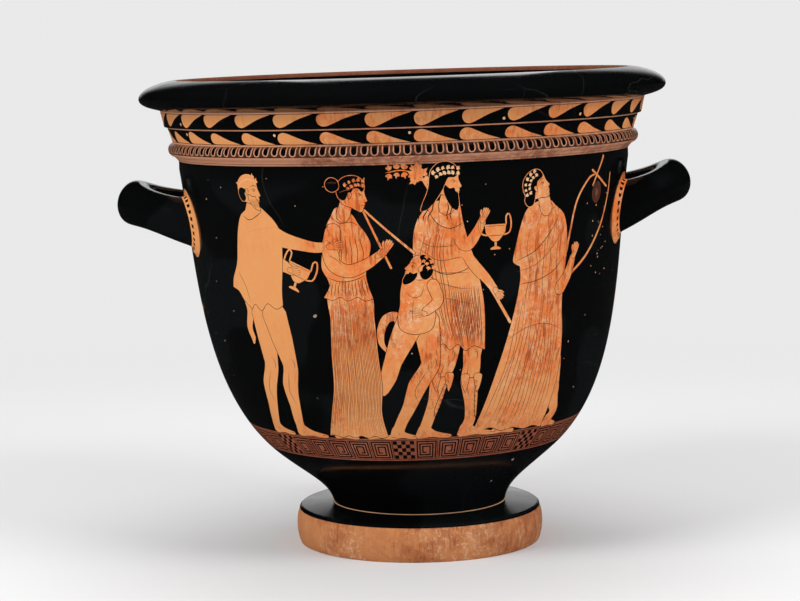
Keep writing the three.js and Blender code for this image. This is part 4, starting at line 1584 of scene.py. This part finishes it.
def studio_world(settings):
    """Even pale backdrop for the camera, dimmer for soft light, and dark in front for reflections."""
    world = bpy.data.worlds.new("Studio")
    world.use_nodes = True
    tree = world.node_tree
    tree.nodes.clear()
    n = Nodes(tree)
    path = n.new("ShaderNodeLightPath")
    # A reflection finds the studio dark all round, but light above the horizon behind the pot
    _, away, rise = n.axes(n.new("ShaderNodeTexCoord").outputs["Generated"])
    glossy = n.times(n.times(n.ramp(away, 0.93, 0.992), n.ramp(rise, -0.01, 0.07)), settings.backdrop)
    strength = n.number_mix(path.outputs["Is Glossy Ray"], settings.fill, glossy)
    strength = n.number_mix(path.outputs["Is Camera Ray"], strength, settings.backdrop)
    light = n.feed(n.new("ShaderNodeBackground"), {"Strength": strength, "Color": (1, 1, 1)})
    n.join(light.outputs[0], n.new("ShaderNodeOutputWorld").inputs[0])
    return world


def floor_material(settings):
    """A floor that runs out into the backdrop without a horizon, and is kept out of reflections."""
    material, n, shader, place = start_material("Pale floor")
    n.feed(shader, {"Base Color": tuple(settings.floor), "Roughness": 0.9, "Specular IOR Level": 0.0})
    away = n.feed(n.new("ShaderNodeVectorMath", operation="LENGTH"), {0: place})
    far = n.ramp(away.outputs["Value"], 0.35, 1.5)
    glossy = n.new("ShaderNodeLightPath").outputs["Is Glossy Ray"]
    glow = n.feed(n.new("ShaderNodeEmission"), {"Strength": n.number_mix(glossy, settings.backdrop, 0.012)})
    blend = n.feed(n.new("ShaderNodeMixShader"), {
        0: n.maths("MAXIMUM", far, glossy), 1: shader.outputs[0], 2: glow.outputs[0]})
    n.join(blend.outputs[0], n.tree.get_output_node("ALL").inputs[0])
    return material


def add_floor(context, settings):
    shape = bmesh.new()
    bmesh.ops.create_circle(shape, cap_ends=True, radius=FLOOR_RADIUS, segments=96)
    data = bpy.data.meshes.new("floor")
    shape.to_mesh(data)
    shape.free()
    data.materials.append(floor_material(settings))
    floor = add_object(context, "floor", data)


def add_lamps(context, settings):
    for name, place, size, power, mirrored in LAMPS:
        lamp = bpy.data.lights.new(name, "AREA")
        lamp.energy = settings.light * power
        lamp.size = size
        item = add_object(context, name, lamp)
        item.location = place
        item.visible_glossy = mirrored
        item.rotation_euler = (LAMP_AIM - Vector(place)).to_track_quat("-Z", "Y").to_euler()


def add_camera(context, settings):
    camera = bpy.data.cameras.new("camera")
    camera.lens = CAMERA_LENS
    camera.sensor_width = 36
    camera.clip_end = 100
    turn = Matrix.Identity(3)
    for degrees, axis in CAMERA_TURNS:
        turn = turn @ Matrix.Rotation(math.radians(degrees), 3, axis)
    right, forward, up = turn.col
    axes = Matrix((right, up, -forward)).transposed().to_4x4()
    x, y = foot_centre()
    viewer = add_object(context, "camera", camera)
    viewer.matrix_world = Matrix.Translation((x, y - settings.distance, settings.camera_height)) @ axes
    context.scene.camera = viewer


class KRATER_OT_stage(bpy.types.Operator):
    """Makes the floor, the soft lamps and the camera"""
    bl_idname = "krater.stage"
    bl_label = "Stage"

    def execute(self, context):
        settings = context.scene.krater_stage
        add_floor(context, settings)
        context.scene.world = studio_world(settings)
        add_lamps(context, settings)
        add_camera(context, settings)
        context.scene.view_settings.view_transform = "Standard"
        return {"FINISHED"}


class KRATER_PT_panel(bpy.types.Panel):
    """Lists the parts of the krater and their settings"""
    bl_label = "Krater"
    bl_idname = "KRATER_PT_panel"
    bl_space_type = "VIEW_3D"
    bl_region_type = "UI"
    bl_category = "Krater"

    def draw(self, context):
        layout = self.layout
        for operator in OPERATORS:
            layout.operator(operator.bl_idname)
        for settings in (context.scene.krater_looks, context.scene.krater_stage):
            for name in settings.__annotations__:
                layout.prop(settings, name)


OPERATORS = (KRATER_OT_vessel, KRATER_OT_stage)
CLASSES = (KraterLooks, StageSettings, *OPERATORS, KRATER_PT_panel)


def register():
    for item in CLASSES:
        bpy.utils.register_class(item)
    bpy.types.Scene.krater_looks = bpy.props.PointerProperty(type=KraterLooks)
    bpy.types.Scene.krater_stage = bpy.props.PointerProperty(type=StageSettings)


def unregister():
    del bpy.types.Scene.krater_stage
    del bpy.types.Scene.krater_looks
    for item in reversed(CLASSES):
        bpy.utils.unregister_class(item)


def main():
    register()
    bpy.ops.krater.stage()
    bpy.ops.krater.vessel()


if __name__ == "__main__":
    main()
